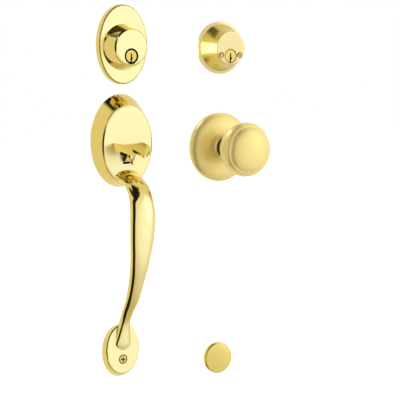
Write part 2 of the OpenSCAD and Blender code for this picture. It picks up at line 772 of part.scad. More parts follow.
// Oval head wood screw of the lower rose
module lower_screw() {
    h = lower_head_r - lower_screw_r;
    point = 3 * lower_screw_r;
    color(bright) front(0, rose_z - lower_screw_drop, rose_depth)
        difference() {
            union() {
                translate([0, 0, -h]) cylinder(r1 = lower_screw_r, r2 = lower_head_r, h = h);
                intersection() {
                    cylinder(r = lower_head_r, h = 3);
                    translate([0, 0, -lower_head_r * 1.5 + 0.9]) sphere(r = lower_head_r * 1.5);
                }
                translate([0, 0, -rose_depth - thread_start - tiny])
                    cylinder(r = lower_screw_r - neck_cut, h = rose_depth + thread_start);
                translate([0, 0, point - rose_depth - lower_screw_len])
                    cylinder(r = lower_screw_r, h = lower_screw_len - point - thread_start);
                translate([0, 0, -rose_depth - lower_screw_len])
                    cylinder(r1 = 0.2, r2 = lower_screw_r, h = point + tiny);
            }
            translate([0, 0, 0.9]) cross_recess(lower_head_r * 0.5, 2);
        }
}

// Flared cylinder of the inside with its flange and two screw holes
module inner_housing() {
    r0 = inner_base_r;
    r1 = inner_face_r;
    f = inner_flange_t;
    e = inner_len - f;
    color(brass) front(column_gap, deadbolt_rise)
        difference() {
            rotate_extrude()
                polygon(concat([[0, 0], [inner_flange_r, 0], [inner_flange_r, f * 0.6],
                    [inner_flange_r - f * 0.4, f]],
                    [for (t = [0 : 0.125 : 1])
                        [r0 + (r1 - r0) * t - inner_flare * sin(180 * t), f + e * t]],
                    [[0, inner_len]]));
            translate([0, -inner_plug_drop, 0]) core_bores(inner_len);
            for (s = [-1, 1])
                translate([s * bolt_half_gap, -bolt_drop, 0]) {
                    translate([0, 0, -1]) cylinder(r = bolt_r + turn_gap, h = inner_len + 2);
                    translate([0, 0, inner_len - bolt_head_h + 0.5])
                        cylinder(r = bolt_head_r + turn_gap, h = bolt_head_h + 1);
                }
        }
}

module inner_plug() {
    color(bright) front(column_gap, inner_plug_z) plug(inner_len);
}

module inner_key_pins() {
    color(gold) front(column_gap, inner_plug_z) key_pins(inner_len);
}

module inner_driver_pins() {
    color(gold) front(column_gap, inner_plug_z) driver_pins(inner_len);
}

module inner_pin_springs() {
    color(steel) front(column_gap, inner_plug_z) pin_springs(inner_len);
}

module inner_pin_cover() {
    color(gold) front(column_gap, inner_plug_z) pin_cover(inner_len);
}

module inner_clip() {
    color(steel) front(column_gap, inner_plug_z) plug_clip();
}

module inner_tailpiece() {
    color(steel) front(column_gap, inner_plug_z) tailpiece();
}

module inner_screws() {
    seat = inner_len - bolt_head_h + 0.5;
    color(bright)
        for (s = [-1, 1])
            front(column_gap + s * bolt_half_gap, deadbolt_rise - bolt_drop, seat)
                screw(bolt_r, bolt_head_r, bolt_head_h, seat + thread_start, seat + bolt_reach);
}

// Outline of the knob from the neck to the end: radius and distance from the door
neck_start = collar_depth + 0.6;
back_len = knob_mid - neck_start;
crease_depth = knob_mid + crease_step;
knob_end = crease_depth + dome_rise;
knob_back = [for (t = [0 : 0.1 : 1])
    [neck_r + (knob_r - neck_r) * pow(sin(90 * t), 2.2), neck_start + back_len * t]];
knob_front = [for (t = [0.25 : 0.25 : 1])
    [knob_r - (knob_r - crease_r) * (1 - cos(90 * t)), knob_mid + (crease_depth - knob_mid) * sin(90 * t)]];
knob_dome_pts = [for (t = [0.125 : 0.125 : 1])
    [crease_r * cos(90 * t), crease_depth - 0.6 + (dome_rise + 0.6) * sin(90 * t)]];

// Pressed knob, hollow inside
module knob_shell() {
    back_in = [for (p = knob_back) [max(p[0] - knob_t, shank_r + push_gap), p[1] + knob_t * 0.2]];
    color(brass) front(column_gap, 0)
        difference() {
            rotate_extrude()
                polygon(concat([[0, neck_start]], knob_back, knob_front,
                    [[crease_r, crease_depth - 0.6]], knob_dome_pts));
            rotate_extrude()
                polygon(concat([[0, neck_start - 1], [shank_r + push_gap, neck_start - 1]],
                    [for (p = back_in) if (p[1] > neck_start + 6) p],
                    [[knob_r - knob_t, knob_mid + 2], [crease_r - knob_t, crease_depth - knob_t],
                    [crease_r * 0.6, crease_depth + dome_rise * 0.75 - knob_t],
                    [0, knob_end - knob_t]]));
        }
}

groove_r = shank_r - 1;

// Shank that carries the knob and turns in the rose plate
module knob_shank() {
    tail = clip_t + sheet_gap + 1.6;
    color(steel) front(column_gap, 0)
        difference() {
            translate([0, 0, -tail]) cylinder(r = shank_r, h = tail + neck_start + shank_in);
            translate([0, 0, -tail - 1]) cylinder(r = spindle_r + push_gap, h = tail + neck_start + shank_in + 2);
            translate([0, 0, -sheet_gap - clip_t - push_gap])
                difference() {
                    cylinder(r = shank_r + 1, h = clip_t + 2 * push_gap);
                    translate([0, 0, -1]) cylinder(r = groove_r, h = clip_t + 3);
                }
        }
}

// Round bar with two flats that turns the latch
module knob_spindle() {
    color(steel) front(column_gap, 0)
        difference() {
            translate([0, 0, -spindle_len])
                cylinder(r = spindle_r, h = spindle_len + neck_start + shank_in - 4);
            for (s = [0, 1]) mirror([0, s, 0])
                translate([-spindle_r - 1, spindle_r * 0.68, -spindle_len - 1])
                    cube([2 * spindle_r + 2, spindle_r, spindle_len - 4]);
        }
}

rose_top = knob_rim + knob_dome;
bearing_r = shank_r + turn_gap + bearing_wall;

// Outline of the rose: rim, dome and stepped collar
function rose_line(o) = let(r = knob_rose_r - o, c = collar_r + 2.4 - o, h = knob_dome - knob_rim)
    concat([[r, 0], [r, knob_rim - o * 0.3]],
        [for (t = [0.125 : 0.125 : 1])
            [c + (r - c) * cos(90 * t), knob_rim - o * 0.3 + (h - o * 0.7) * sin(90 * t)]],
        [[collar_r + 2.4 - o, knob_dome + 1.4 - o], [collar_r - o, knob_dome + 1.4 - o],
        [collar_r - o, collar_depth - 1.8 - o * 0.4], [collar_r - 1.6 - o * 0.5, collar_depth - o]]);

module knob_rose() {
    hole = bearing_r + sheet_gap;
    color(brass) front(column_gap, 0)
        difference() {
            rotate_extrude()
                polygon(concat(rose_line(0), [[0, collar_depth], [0, 0]]));
            rotate_extrude()
                polygon(concat([[0, -1], [knob_rose_r - knob_rose_t, -1]], rose_line(knob_rose_t),
                    [[0, collar_depth - knob_rose_t]]));
            cylinder(r = hole, h = collar_depth + 1);
        }
}

// Plate behind the rose with the bearing tube of the shank
module rose_plate() {
    color(steel) front(column_gap, 0)
        difference() {
            union() {
                cylinder(r = back_plate_r, h = back_plate_t);
                cylinder(r = bearing_r, h = collar_depth - 0.6);
            }
            translate([0, 0, -1]) cylinder(r = shank_r + turn_gap, h = collar_depth + 2);
            for (s = [-1, 1])
                translate([s * latch_half_gap, 0, -1]) cylinder(r = bolt_r + turn_gap, h = back_plate_t + 2);
            for (s = [-1, 1])
                translate([0, s * (back_plate_r - 2.7 * key_hole_r), -1])
                    cylinder(r = key_hole_r, h = back_plate_t + 2);
        }
}

module rose_screws() {
    color(steel)
        for (s = [-1, 1])
            front(column_gap + s * latch_half_gap, 0, back_plate_t)
                screw(bolt_r, rose_head_r, rose_head_h, back_plate_t + thread_start,
                    back_plate_t + rose_screw_len);
}

// Return spring wound round the bearing tube
module knob_spring() {
    color(steel) front(column_gap, 0, back_plate_t + 0.9)
        coil(bearing_r + 0.4 + knob_spring_wire / 2 + 0.3, knob_spring_wire,
            (collar_depth - back_plate_t) * 0.4, knob_spring_turns, 8, 20);
}

module knob_clip() {
    color(dark) front(column_gap, 0, -sheet_gap - clip_t)
        difference() {
            cylinder(r = groove_r + push_gap + 3, h = clip_t);
            translate([0, 0, -1]) cylinder(r = groove_r + push_gap, h = clip_t + 2);
            translate([-4, -20, -1]) cube([8, 20, clip_t + 2]);
        }
}

// Domed cap with a rounded rim and a socket for the barrel
module bolt_cap() {
    e = cap_edge_r;
    r = cap_r;
    w = cap_wall;
    rim = cap_h - cap_dome;
    color(brass) front(column_gap, -cap_drop)
        difference() {
            union() {
                difference() {
                    rotate_extrude()
                        polygon(concat([[0, 0], [r, 0]],
                            [for (t = [0 : 15 : 75]) [r - e + e * cos(t), rim - e + e * sin(t)]],
                            [for (t = [1 : -0.125 : 0]) [(r - e) * t, rim + cap_dome * (1 - t * t)]]));
                    translate([0, 0, -tiny]) cylinder(r = r - w, h = rim - w);
                }
                cylinder(r = barrel_r + w, h = rim - w + tiny);
            }
            translate([0, 0, -1]) cylinder(r = barrel_r + push_gap, h = 1 + rim - w);
        }
}

// Threaded barrel that holds the cap on the through bolt
module cap_barrel() {
    color(steel) front(column_gap, -cap_drop, -barrel_len)
        difference() {
            cylinder(r = barrel_r, h = barrel_len + cap_h - cap_dome - cap_wall);
            translate([0, 0, -1]) cylinder(r = barrel_bore_r, h = barrel_len + 1);
        }
}

deadbolt_plate();
deadbolt_housing();
deadbolt_plug();
deadbolt_key_pins();
deadbolt_driver_pins();
deadbolt_pin_springs();
deadbolt_pin_cover();
deadbolt_clip();
deadbolt_tailpiece();
handle_casting();
thumbpiece();
thumbpiece_pin();
thumbpiece_spring();
latch_bracket();
latch_lever();
latch_rivet();
lower_screw();
inner_housing();
inner_plug();
inner_key_pins();
inner_driver_pins();
inner_pin_springs();
inner_pin_cover();
inner_clip();
inner_tailpiece();
inner_screws();
knob_shell();
knob_shank();
knob_spindle();
knob_rose();
rose_plate();
rose_screws();
knob_spring();
knob_clip();
bolt_cap();
cap_barrel();
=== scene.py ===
import json
from math import cos, exp, hypot, pi, radians, sin, tan, tau

import bmesh
import bpy
from mathutils import Matrix, Vector

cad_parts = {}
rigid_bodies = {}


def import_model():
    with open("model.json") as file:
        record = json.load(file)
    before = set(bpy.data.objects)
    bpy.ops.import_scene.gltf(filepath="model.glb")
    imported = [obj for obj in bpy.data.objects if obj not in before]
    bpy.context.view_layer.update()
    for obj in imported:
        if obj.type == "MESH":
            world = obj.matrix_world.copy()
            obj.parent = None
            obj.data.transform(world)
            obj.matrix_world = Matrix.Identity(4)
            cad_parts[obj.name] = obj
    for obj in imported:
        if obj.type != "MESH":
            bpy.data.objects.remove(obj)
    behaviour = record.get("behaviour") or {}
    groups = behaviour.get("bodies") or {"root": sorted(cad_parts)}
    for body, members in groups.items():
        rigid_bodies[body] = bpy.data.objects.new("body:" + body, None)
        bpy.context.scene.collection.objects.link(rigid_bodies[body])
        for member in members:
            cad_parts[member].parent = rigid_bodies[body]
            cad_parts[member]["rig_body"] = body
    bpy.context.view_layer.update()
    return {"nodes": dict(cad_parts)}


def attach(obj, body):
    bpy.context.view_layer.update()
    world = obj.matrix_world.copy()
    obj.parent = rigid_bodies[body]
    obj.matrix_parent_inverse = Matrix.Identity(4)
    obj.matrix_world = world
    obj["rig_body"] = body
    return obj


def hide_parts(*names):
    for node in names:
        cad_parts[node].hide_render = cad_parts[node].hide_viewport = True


bl_info = {
    "name": "Entry Door Handleset",
    "version": (1, 0, 0),
    "blender": (4, 5, 0),
    "location": "View3D > Sidebar > Handleset",
    "description": "Dresses the outside and inside trim of a brass entry door handleset",
    "category": "Object",
}

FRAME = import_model()
NODES = FRAME["nodes"]
MM = 0.001
IMAGE = 400
FOCAL_PIXELS = 1800.0
WHITE = (1.0, 1.0, 1.0, 1.0)
SIDES = (-1, 1)

# Sizes of the frame that the dressing follows, in millimetres.
OUTSIDE_X = 0.0
INSIDE_X = 129.0
DEADBOLT_Z = 114.0
OUTER_PLUG_Z = 104.2
INNER_PLUG_Z = 104.8
OUTER_FACE = 25.3
INNER_FACE = 24.6
DEADBOLT_SCREW_X = 12.2
DEADBOLT_SCREW_Z = DEADBOLT_Z - 8.2
PLUG_R = 7.5
PIN_R = 1.3
PIN_COUNT = 5
PIN_PITCH = 3.8
FIRST_PIN = 6.0
LATCH_POST_X = 19.0
ESCUTCHEON_W = 37.5
ESCUTCHEON_H = 52.0
ESCUTCHEON_Z = 9.8
ESCUTCHEON_DEPTH = 18.0
ROSE_DEPTH = 8.9
ROSE_Z = -226.5
SCREW_Z = ROSE_Z - 9.1
CAP_Z = -245.5
PIVOT = Vector((0.0, -9.0, -12.0))


# ---- nodes

class Value:
    """An output socket on which plain arithmetic adds Math nodes."""

    def __init__(self, graph, socket):
        self.graph = graph
        self.socket = socket

    def math(self, operation, *values):
        """Adds a Math node on values of which this is one."""
        made = self.graph.node("ShaderNodeMath", dict(enumerate(values)), {"operation": operation})
        return made("Value")

    def __add__(self, other):
        return self.math("ADD", self, other)

    def __radd__(self, other):
        return self.math("ADD", other, self)

    def __sub__(self, other):
        return self.math("SUBTRACT", self, other)

    def __rsub__(self, other):
        return self.math("SUBTRACT", other, self)

    def __mul__(self, other):
        return self.math("MULTIPLY", self, other)

    def __rmul__(self, other):
        return self.math("MULTIPLY", other, self)

    def __abs__(self):
        return self.math("ABSOLUTE", self)

    def at_least(self, other):
        return self.math("MAXIMUM", self, other)

    def at_most(self, other):
        return self.math("MINIMUM", self, other)


class Graph:
    """A node tree and the one method that adds nodes to it."""

    def __init__(self, tree):
        self.tree = tree

    def node(self, kind, values=None, settings=None):
        """Adds a node, sets what it is, fills its sockets, and returns a way to its outputs."""
        made = self.tree.nodes.new(kind)
        for name, setting in (settings or {}).items():
            setattr(made, name, setting)
        for name, value in (values or {}).items():
            self.fill(made.inputs[name], value)
        return lambda output=0: Value(self, made.outputs[output])

    def fill(self, socket, value):
        """Links a socket to a value or sets it."""
        if isinstance(value, Value):
            self.tree.links.new(value.socket, socket)
        else:
            socket.default_value = value

    def mix(self, share, first, second):
        """Mixes two colours by a share."""
        made = self.tree.nodes.new("ShaderNodeMix")
        made.data_type = "RGBA"
        self.fill(made.inputs[0], share)
        self.fill(made.inputs[6], first)
        self.fill(made.inputs[7], second)
        return Value(self, made.outputs[2])

    def between(self, value, low, high):
        """Runs smoothly from 0 to 1 while a value runs from low to high."""
        return self.node("ShaderNodeMapRange", {"Value": value, "From Min": low, "From Max": high},
                         {"interpolation_type": "SMOOTHSTEP"})("Result")


class Finish(Graph):
    """A metal finish on a Principled shader."""

    def __init__(self, name):
        self.material = bpy.data.materials.new(name)
        self.material.use_nodes = True
        super().__init__(self.material.node_tree)
        self.shader = self.tree.nodes["Principled BSDF"]
        self.shader.inputs["Metallic"].default_value = 1.0
        self.place = self.node("ShaderNodeTexCoord")("Object")

    def noise(self, scale, detail=3.0, stretch=None):
        """Noise on object coordinates, stretched along an axis where asked."""
        place = self.place
        if stretch:
            place = self.node("ShaderNodeMapping", {"Vector": place, "Scale": stretch})("Vector")
        return self.node("ShaderNodeTexNoise",
                         {"Vector": place, "Scale": scale, "Detail": detail})("Fac")

    def facing(self, low=0.45, high=0.97):
        """How squarely the surface was made to face the front, from 0 to 1: the mask that paints front
        faces paler as a painted reflection, and that makes the flats rougher.
        """
        made = self.node("ShaderNodeAttribute", None, {"attribute_name": "facing"})
        return self.between(made("Fac"), low, high)

    def set(self, **values):
        """Sets or links the shader's sockets by their names."""
        for name, value in values.items():
            self.fill(self.shader.inputs[name.replace("_", " ").title()], value)
        return self

    def bump(self, height, strength, distance):
        """Fine relief from a height."""
        made = self.node("ShaderNodeBump",
                         {"Height": height, "Strength": strength, "Distance": distance})
        self.fill(self.shader.inputs["Normal"], made("Normal"))
        return self

    def lacquer(self, weight, roughness):
        """A clear coat over the metal."""
        self.shader.inputs["Coat Weight"].default_value = weight
        self.shader.inputs["Coat Roughness"].default_value = roughness
        return self


def polished_finish(name, pale, gold, gloss, buff):
    """Mirror polished and lacquered brass with faint wiping: flats painted paler than the sides as a
    painted reflection of the bright front, and buffed rougher.
    """
    made = Finish(name)
    cloud = made.noise(22.0, 2.0)
    wipe = made.noise(140.0, 4.0, (1.0, 1.0, 0.25))
    hair = made.noise(900.0, 2.0, (0.06, 1.0, 1.0))
    # Front-facing faces take the pale colour: painted reflection of the bright studio front, not a colour
    # of the brass.
    colour = made.mix(made.facing(0.68, 1.0), gold, pale)
    colour = made.mix(0.10 * cloud, colour, (0.70, 0.50, 0.16, 1.0))
    made.set(base_color=colour)
    flat = made.facing(0.93, 0.99)
    made.set(roughness=gloss + 0.38 * buff * flat + 0.04 * made.between(wipe, 0.45, 0.75))
    made.set(metallic=1 - 0.55 * buff * flat)
    made.bump(hair + 0.6 * made.noise(60.0, 1.0), 0.02, 0.0002)
    return made.lacquer(0.35, 0.04).material


def satin_finish(name, pale, gold, gloss, metal):
    """Brass with the softer sheen of a spun and lacquered piece."""
    made = Finish(name)
    cloud = made.noise(30.0, 2.0)
    grain = made.noise(1200.0, 3.0)
    # Front-facing faces take the first, paler colour and the sides take the second: painted reflection of
    # the bright front.
    colour = made.mix(made.facing(), gold, pale)
    colour = made.mix(0.12 * cloud, colour, (0.66, 0.46, 0.14, 1.0))
    made.set(base_color=colour)
    made.set(roughness=gloss + 0.06 * cloud)
    made.shader.inputs["Metallic"].default_value = metal
    made.bump(grain, 0.03, 0.0001)
    return made.lacquer(0.25, 0.12).material


def cast_finish(name, colour):
    """Raw cast brass of the hollow backs: dull, grainy and a little stained."""
    made = Finish(name)
    stain = made.between(made.noise(90.0, 4.0), 0.35, 0.7)
    grain = made.noise(1500.0, 3.0)
    made.set(base_color=made.mix(0.45 * stain, colour, (0.34, 0.22, 0.09, 1.0)))
    made.set(roughness=0.42 + 0.18 * stain)
    return made.bump(grain, 0.35, 0.0003).material


def turned_finish(name, colour, gloss):
    """Machined metal with fine tool marks."""
    made = Finish(name)
    marks = made.noise(2200.0, 2.0, (1.0, 0.08, 1.0))
    cloud = made.noise(120.0, 2.0)
    made.set(base_color=made.mix(0.2 * cloud, colour, (0.30, 0.27, 0.2, 1.0)))
    made.set(roughness=gloss + 0.12 * marks)
    return made.bump(marks, 0.10, 0.0001).material


class Finishes:
    """The finishes of the set, made once."""

    made = {}

    @classmethod
    def get(cls, name):
        look = bpy.context.scene.handleset_look
        if not cls.made:
            colours = (look.pale, look.gold, look.soft, look.zinc)
            pale, gold, soft, zinc = (tuple(colour) + (1.0,) for colour in colours)
            sand = (0.82, 0.68, 0.34, 1.0)
            olive = (0.68, 0.52, 0.09, 1.0)
            shadow = (0.035, 0.025, 0.012, 1.0)
            black = (0.09, 0.085, 0.08, 1.0)
            # Where a finish takes two colours, the first goes on front-facing faces and the second on the
            # sides; the paler front is a painted reflection.
            kinds = {
                "polished_brass": (polished_finish, pale, gold, look.gloss, 0.1),
                "buffed_brass": (polished_finish, pale, gold, look.gloss, 0.6),
                "satin_brass": (satin_finish, soft, soft, look.satin, 0.55),
                "spun_brass": (satin_finish, sand, olive, look.satin * 0.55, 0.85),
                # shadow_brass: near-black painted shade for recesses, gaps and hidden faces.
                "shadow_brass": (turned_finish, shadow, 0.5),
                "cap_brass": (polished_finish, gold, gold, look.gloss * 2.0, 1.0),
                "cast_brass": (cast_finish, gold),
                "turned_brass": (turned_finish, gold, 0.2),
                "zinc_steel": (turned_finish, zinc, 0.26),
                "black_steel": (turned_finish, black, 0.38),
            }
            for finish, (make, *values) in kinds.items():
                cls.made[finish] = make(finish, *values)
        return cls.made[name]


# ---- meshes

def oval_ring(half_w, half_h, depth, x=0.0, z=0.0, count=160):
    """Points of an oval that lies in a plane at a distance from the door, in millimetres."""
    turn = tau / count
    return [(x + half_w * cos(turn * s), -depth, z + half_h * sin(turn * s))
            for s in range(count)]


def disc_ring(radius, depth, x=0.0, z=0.0, count=160):
    """Points of a circle in such a plane."""
    return oval_ring(radius, radius, depth, x, z, count)


def quarter(steps, first=1):
    """Angles in equal steps up to a quarter turn."""
    return [pi / 2 * k / steps for k in range(first, steps + 1)]


def loft(rings, closed=False):
    """Vertices and faces through rings of one length, with both ends closed."""
    count = len(rings[0])
    verts = [p for ring in rings for p in ring]
    faces = []
    steps = len(rings) if closed else len(rings) - 1
    for k in range(steps):
        a = k * count
        b = (k + 1) % len(rings) * count
        for s in range(count):
            t = (s + 1) % count
            faces.append((a + s, a + t, b + t, b + s))
    if not closed:
        last = (len(rings) - 1) * count
        faces.append(tuple(range(count - 1, -1, -1)))
        faces.append(tuple(range(last, last + count)))
    return verts, faces


def fillet(before, corner, after, radius, steps):
    """Points of an arc that rounds a corner of an outline of radius and distance."""
    before, corner, after = Vector(before), Vector(corner), Vector(after)
    p, q = (before - corner).normalized(), (after - corner).normalized()
    half = p.angle(q) / 2
    reach = radius / tan(half)
    centre = corner + (p + q).normalized() * radius / sin(half)
    start, end = corner + p * reach - centre, corner + q * reach - centre
    turn = start.angle(end)
    points = []
    for k in range(steps + 1):
        t = k / steps
        step = (start * sin((1 - t) * turn) + end * sin(t * turn)) / sin(turn)
        points.append(tuple(centre + step))
    return points


def eased(width):
    """An eased edge as pairs of how far it draws in and how far it lies below the face."""
    tall, radius, beyond = 0.6 * width, 0.9, 5.0
    arcs = fillet((0, tall + beyond), (0, tall), (width, 0), radius, 5)
    return arcs + fillet((0, tall), (width, 0), (width + beyond, 0), radius, 3)


def in_scene(name, data):
    """A new object that stands in the scene."""
    made = bpy.data.objects.new(name, data)
    bpy.context.scene.collection.objects.link(made)
    return made


def mesh_piece(name, verts, faces):
    """An object at the origin from points in millimetres, faces pointing outwards."""
    mesh = bpy.data.meshes.new(name)
    mesh.from_pydata([Vector(v) * MM for v in verts], [], faces)
    tidy_mesh(mesh)
    return in_scene(name, mesh)


def tidy_mesh(mesh, merge=1e-7):
    """Merges points that coincide and turns all faces outwards."""
    work = bmesh.new()
    work.from_mesh(mesh)
    bmesh.ops.remove_doubles(work, verts=work.verts, dist=merge)
    bmesh.ops.recalc_face_normals(work, faces=work.faces)
    work.to_mesh(mesh)
    work.free()


def box_piece(name, low, high):
    """A cutting block between two corners in millimetres."""
    corners = [(x, y, z) for x in (low[0], high[0]) for y in (low[1], high[1]) for z in (low[2], high[2])]
    faces = [(0, 1, 3, 2), (4, 6, 7, 5), (0, 4, 5, 1), (2, 3, 7, 6), (0, 2, 6, 4), (1, 5, 7, 3)]
    return mesh_piece(name, corners, faces)


def rod_piece(name, radius, start, end, axis="Y", end_radius=None):
    """A cutting rod or cone between two points in millimetres along an axis."""
    count = 64
    start, end = Vector(start), Vector(end)
    second = radius if end_radius is None else end_radius
    rings = []
    for centre, r in ((start, radius), (end, second)):
        ring = []
        for s in range(count):
            a = tau * s / count
            c, d = r * cos(a), r * sin(a)
            step = {"X": (0, c, d), "Y": (c, 0, d), "Z": (c, d, 0)}[axis]
            ring.append(tuple(centre + Vector(step)))
        rings.append(ring)
    return mesh_piece(name, *loft(rings))


def bake(piece):
    """Turns what the modifiers show into the piece's own mesh."""
    graph = bpy.context.evaluated_depsgraph_get()
    mesh = bpy.data.meshes.new_from_object(piece.evaluated_get(graph))
    piece.modifiers.clear()
    old = piece.data
    piece.data = mesh
    bpy.data.meshes.remove(old)
    return piece


def carve(piece, cutters, operation="DIFFERENCE"):
    """Cuts or joins other pieces with a piece, and removes them."""
    for cutter in cutters:
        change = piece.modifiers.new("carve", "BOOLEAN")
        change.operation = operation
        change.solver = "EXACT"
        change.object = cutter
        bake(piece)
        bpy.data.objects.remove(cutter)
    tidy_mesh(piece.data, 2e-6)
    return piece


def round_edges(piece, width, segments=2, angle=32.0):
    """Rounds the sharp edges a little and keeps the flats flat."""
    bevel = piece.modifiers.new("edges", "BEVEL")
    bevel.width = width * MM
    bevel.segments = segments
    bevel.limit_method = "ANGLE"
    bevel.angle_limit = radians(angle)
    bevel.use_clamp_overlap = True
    bake(piece)
    return flats(shade(piece, angle))


def flats(piece):
    """Lets the large flats keep their own shading next to small rounded edges."""
    weigh = piece.modifiers.new("flats", "WEIGHTED_NORMAL")
    weigh.keep_sharp = True
    weigh.weight = 80
    return bake(piece)


def shade(piece, angle):
    """Shades smoothly apart from edges sharper than an angle."""
    piece.data.shade_smooth()
    piece.data.set_sharp_from_angle(angle=radians(angle))
    return piece


def mark_facing(piece):
    """Writes how squarely each corner of the mesh faces the front, the mask of the painted paler front."""
    low = 0.35
    mesh = piece.data
    mark = mesh.attributes.get("facing") or mesh.attributes.new("facing", "FLOAT", "CORNER")
    shares = []
    for corner in mesh.corner_normals:
        shares.append(min(max((-corner.vector.y - low) / (1.0 - low), 0.0), 1.0))
    mark.data.foreach_set("value", shares)
    return piece


SLOTS = {"turned_brass": "plain_brass", "zinc_steel": "steel", "black_steel": "dark_steel"}


def dress(piece, finish, node=None, body=None, inside=None):
    """Gives a piece its finish, puts it on its body, and lets it stand for its node."""
    mesh = piece.data
    mesh.materials.clear()
    mesh.materials.append(Finishes.get(finish))
    if inside:
        mesh.materials.append(Finishes.get("cast_brass"))
        for face in mesh.polygons:
            face.material_index = int(inside(face.center / MM, face.normal))
    mark_facing(piece)
    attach(piece, body or NODES[node]["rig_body"])
    if node:
        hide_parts(node)
    SLOTS.get(finish, "polished_brass")
    return piece


def copy_of(node):
    """A copy of a node's mesh without the seams of its flats."""
    mesh = NODES[node].data.copy()
    work = bmesh.new()
    work.from_mesh(mesh)
    bmesh.ops.remove_doubles(work, verts=work.verts, dist=2e-6)
    bmesh.ops.dissolve_limit(work, angle_limit=radians(0.6), verts=work.verts, edges=work.edges)
    work.to_mesh(mesh)
    work.free()
    return in_scene(node + "_dressed", mesh)


def polished_copy(node, finish, width=0.25, angle=32.0):
    """A copy of a node with its edges broken and its finish on it."""
    return dress(round_edges(copy_of(node), width, 2, angle), finish, node)


def blacken(piece, where):
    """Paints shade on the faces in recesses: they take the near-black shadow_brass finish in place of the
    shade there.
    """
    mesh = piece.data
    mesh.materials.append(Finishes.get("shadow_brass"))
    for part in mesh.polygons:
        if where(part.center / MM, part.normal):
            part.material_index = len(mesh.materials) - 1


# ---- what repeats

def named_tree(name, inputs):
    """A geometry tree with named number inputs, a material input and one geometry output."""
    tree = bpy.data.node_groups.new(name, "GeometryNodeTree")
    face = tree.interface
    face.new_socket("Geometry", in_out="OUTPUT", socket_type="NodeSocketGeometry")
    for label, kind, value in inputs:
        made = face.new_socket(label, in_out="INPUT", socket_type="NodeSocket" + kind)
        made.default_value = value
    face.new_socket("Finish", in_out="INPUT", socket_type="NodeSocketMaterial")
    graph = Graph(tree)
    given = tree.nodes.new("NodeGroupInput")
    return graph, lambda label: Value(graph, given.outputs[label])


def close_tree(graph, geometry, given):
    """Realises, sets the material and gives the geometry out."""
    real = graph.node("GeometryNodeRealizeInstances", {"Geometry": geometry})("Geometry")
    done = graph.node("GeometryNodeSetMaterial", {"Geometry": real, "Material": given("Finish")})
    end = graph.tree.nodes.new("NodeGroupOutput")
    graph.tree.links.new(done("Geometry").socket, end.inputs["Geometry"])
    return graph.tree


def in_row(graph, given, thing):
    """Repeats a thing along a line."""
    step = graph.node("ShaderNodeCombineXYZ", {"X": given("Step X"), "Y": given("Step Y")})("Vector")
    line = graph.node("GeometryNodeMeshLine", {"Count": given("Count"), "Offset": step})("Mesh")
    return graph.node("GeometryNodeInstanceOnPoints", {"Points": line, "Instance": thing})("Instances")


ROW_INPUTS = [("Count", "Int", 1), ("Step X", "Float", 0.0), ("Step Y", "Float", 0.0)]


def coil_tree():
    """Coils in a row: springs, and the threads of screws."""
    graph, given = named_tree("coil_row", ROW_INPUTS + [
        ("Radius", "Float", 0.001), ("Wire", "Float", 0.0002),
        ("Height", "Float", 0.006), ("Turns", "Float", 4.0), ("Steps", "Int", 24)])
    path = graph.node("GeometryNodeCurveSpiral", {
        "Resolution": given("Steps"), "Rotations": given("Turns"), "Start Radius": given("Radius"),
        "End Radius": given("Radius"), "Height": given("Height")})("Curve")
    ring = graph.node("GeometryNodeCurvePrimitiveCircle",
                      {"Resolution": 8, "Radius": given("Wire")})("Curve")
    wire = graph.node("GeometryNodeCurveToMesh",
                      {"Curve": path, "Profile Curve": ring, "Fill Caps": True})("Mesh")
    return close_tree(graph, in_row(graph, given, wire), given)


def pin_tree():
    """Pins in a row, each a round bar on a tapered tip."""
    graph, given = named_tree("pin_row", ROW_INPUTS + [
        ("Radius", "Float", 0.0013), ("Tip Radius", "Float", 0.0007),
        ("Tip", "Float", 0.001), ("Length", "Float", 0.005)])
    low = graph.node("GeometryNodeMeshCone", {
        "Vertices": 24, "Radius Top": given("Radius"), "Radius Bottom": given("Tip Radius"),
        "Depth": given("Tip")})("Mesh")
    high = graph.node("GeometryNodeMeshCone", {
        "Vertices": 24, "Radius Top": given("Radius"), "Radius Bottom": given("Radius"),
        "Depth": given("Length")})("Mesh")
    lift = graph.node("ShaderNodeCombineXYZ", {"Z": given("Tip")})("Vector")
    high = graph.node("GeometryNodeTransform", {"Geometry": high, "Translation": lift})("Geometry")
    join = graph.tree.nodes.new("GeometryNodeJoinGeometry")
    graph.tree.links.new(low.socket, join.inputs["Geometry"])
    graph.tree.links.new(high.socket, join.inputs["Geometry"])
    return close_tree(graph, in_row(graph, given, Value(graph, join.outputs["Geometry"])), given)


def grown(name, tree, finish, turn, place, **values):
    """A plain mesh grown by a geometry tree, then turned and placed in millimetres."""
    piece = in_scene(name, bpy.data.meshes.new(name))
    change = piece.modifiers.new("grow", "NODES")
    change.node_group = tree
    keys = {s.name: s.identifier for s in tree.interface.items_tree
            if s.item_type == "SOCKET" and s.in_out == "INPUT"}
    for label, value in values.items():
        change[keys[label.replace("_", " ").title()]] = value
    change[keys["Finish"]] = Finishes.get(finish)
    bake(piece)
    piece.data.transform(Matrix.Translation(Vector(place) * MM) @ turn)
    tidy_mesh(piece.data)
    return shade(piece, 50.0)


def grown_node(node, tree, finish, turn, place, **values):
    """What a node holds, grown by a geometry tree."""
    return dress(grown(node + "_dressed", tree, finish, turn, place, **values), finish, node)


def screw_thread(name, finish, place, radius, length, pitch, wire=0.00025, **row):
    """The threads of one screw or of screws in a row, in millimetres."""
    piece = grown(name, coil_tree(), finish, ALONG_Y, place, radius=radius * MM, wire=wire,
                  height=length * MM, turns=length / pitch, **row)
    return dress(piece, finish, body="trim")


ALONG_Z = Matrix.Identity(4)
ALONG_Y = Matrix.Rotation(radians(-90), 4, "X")
TO_FRONT = Matrix.Rotation(radians(90), 4, "X")
ALONG_X = Matrix.Rotation(radians(90), 4, "Y")


# ---- settings

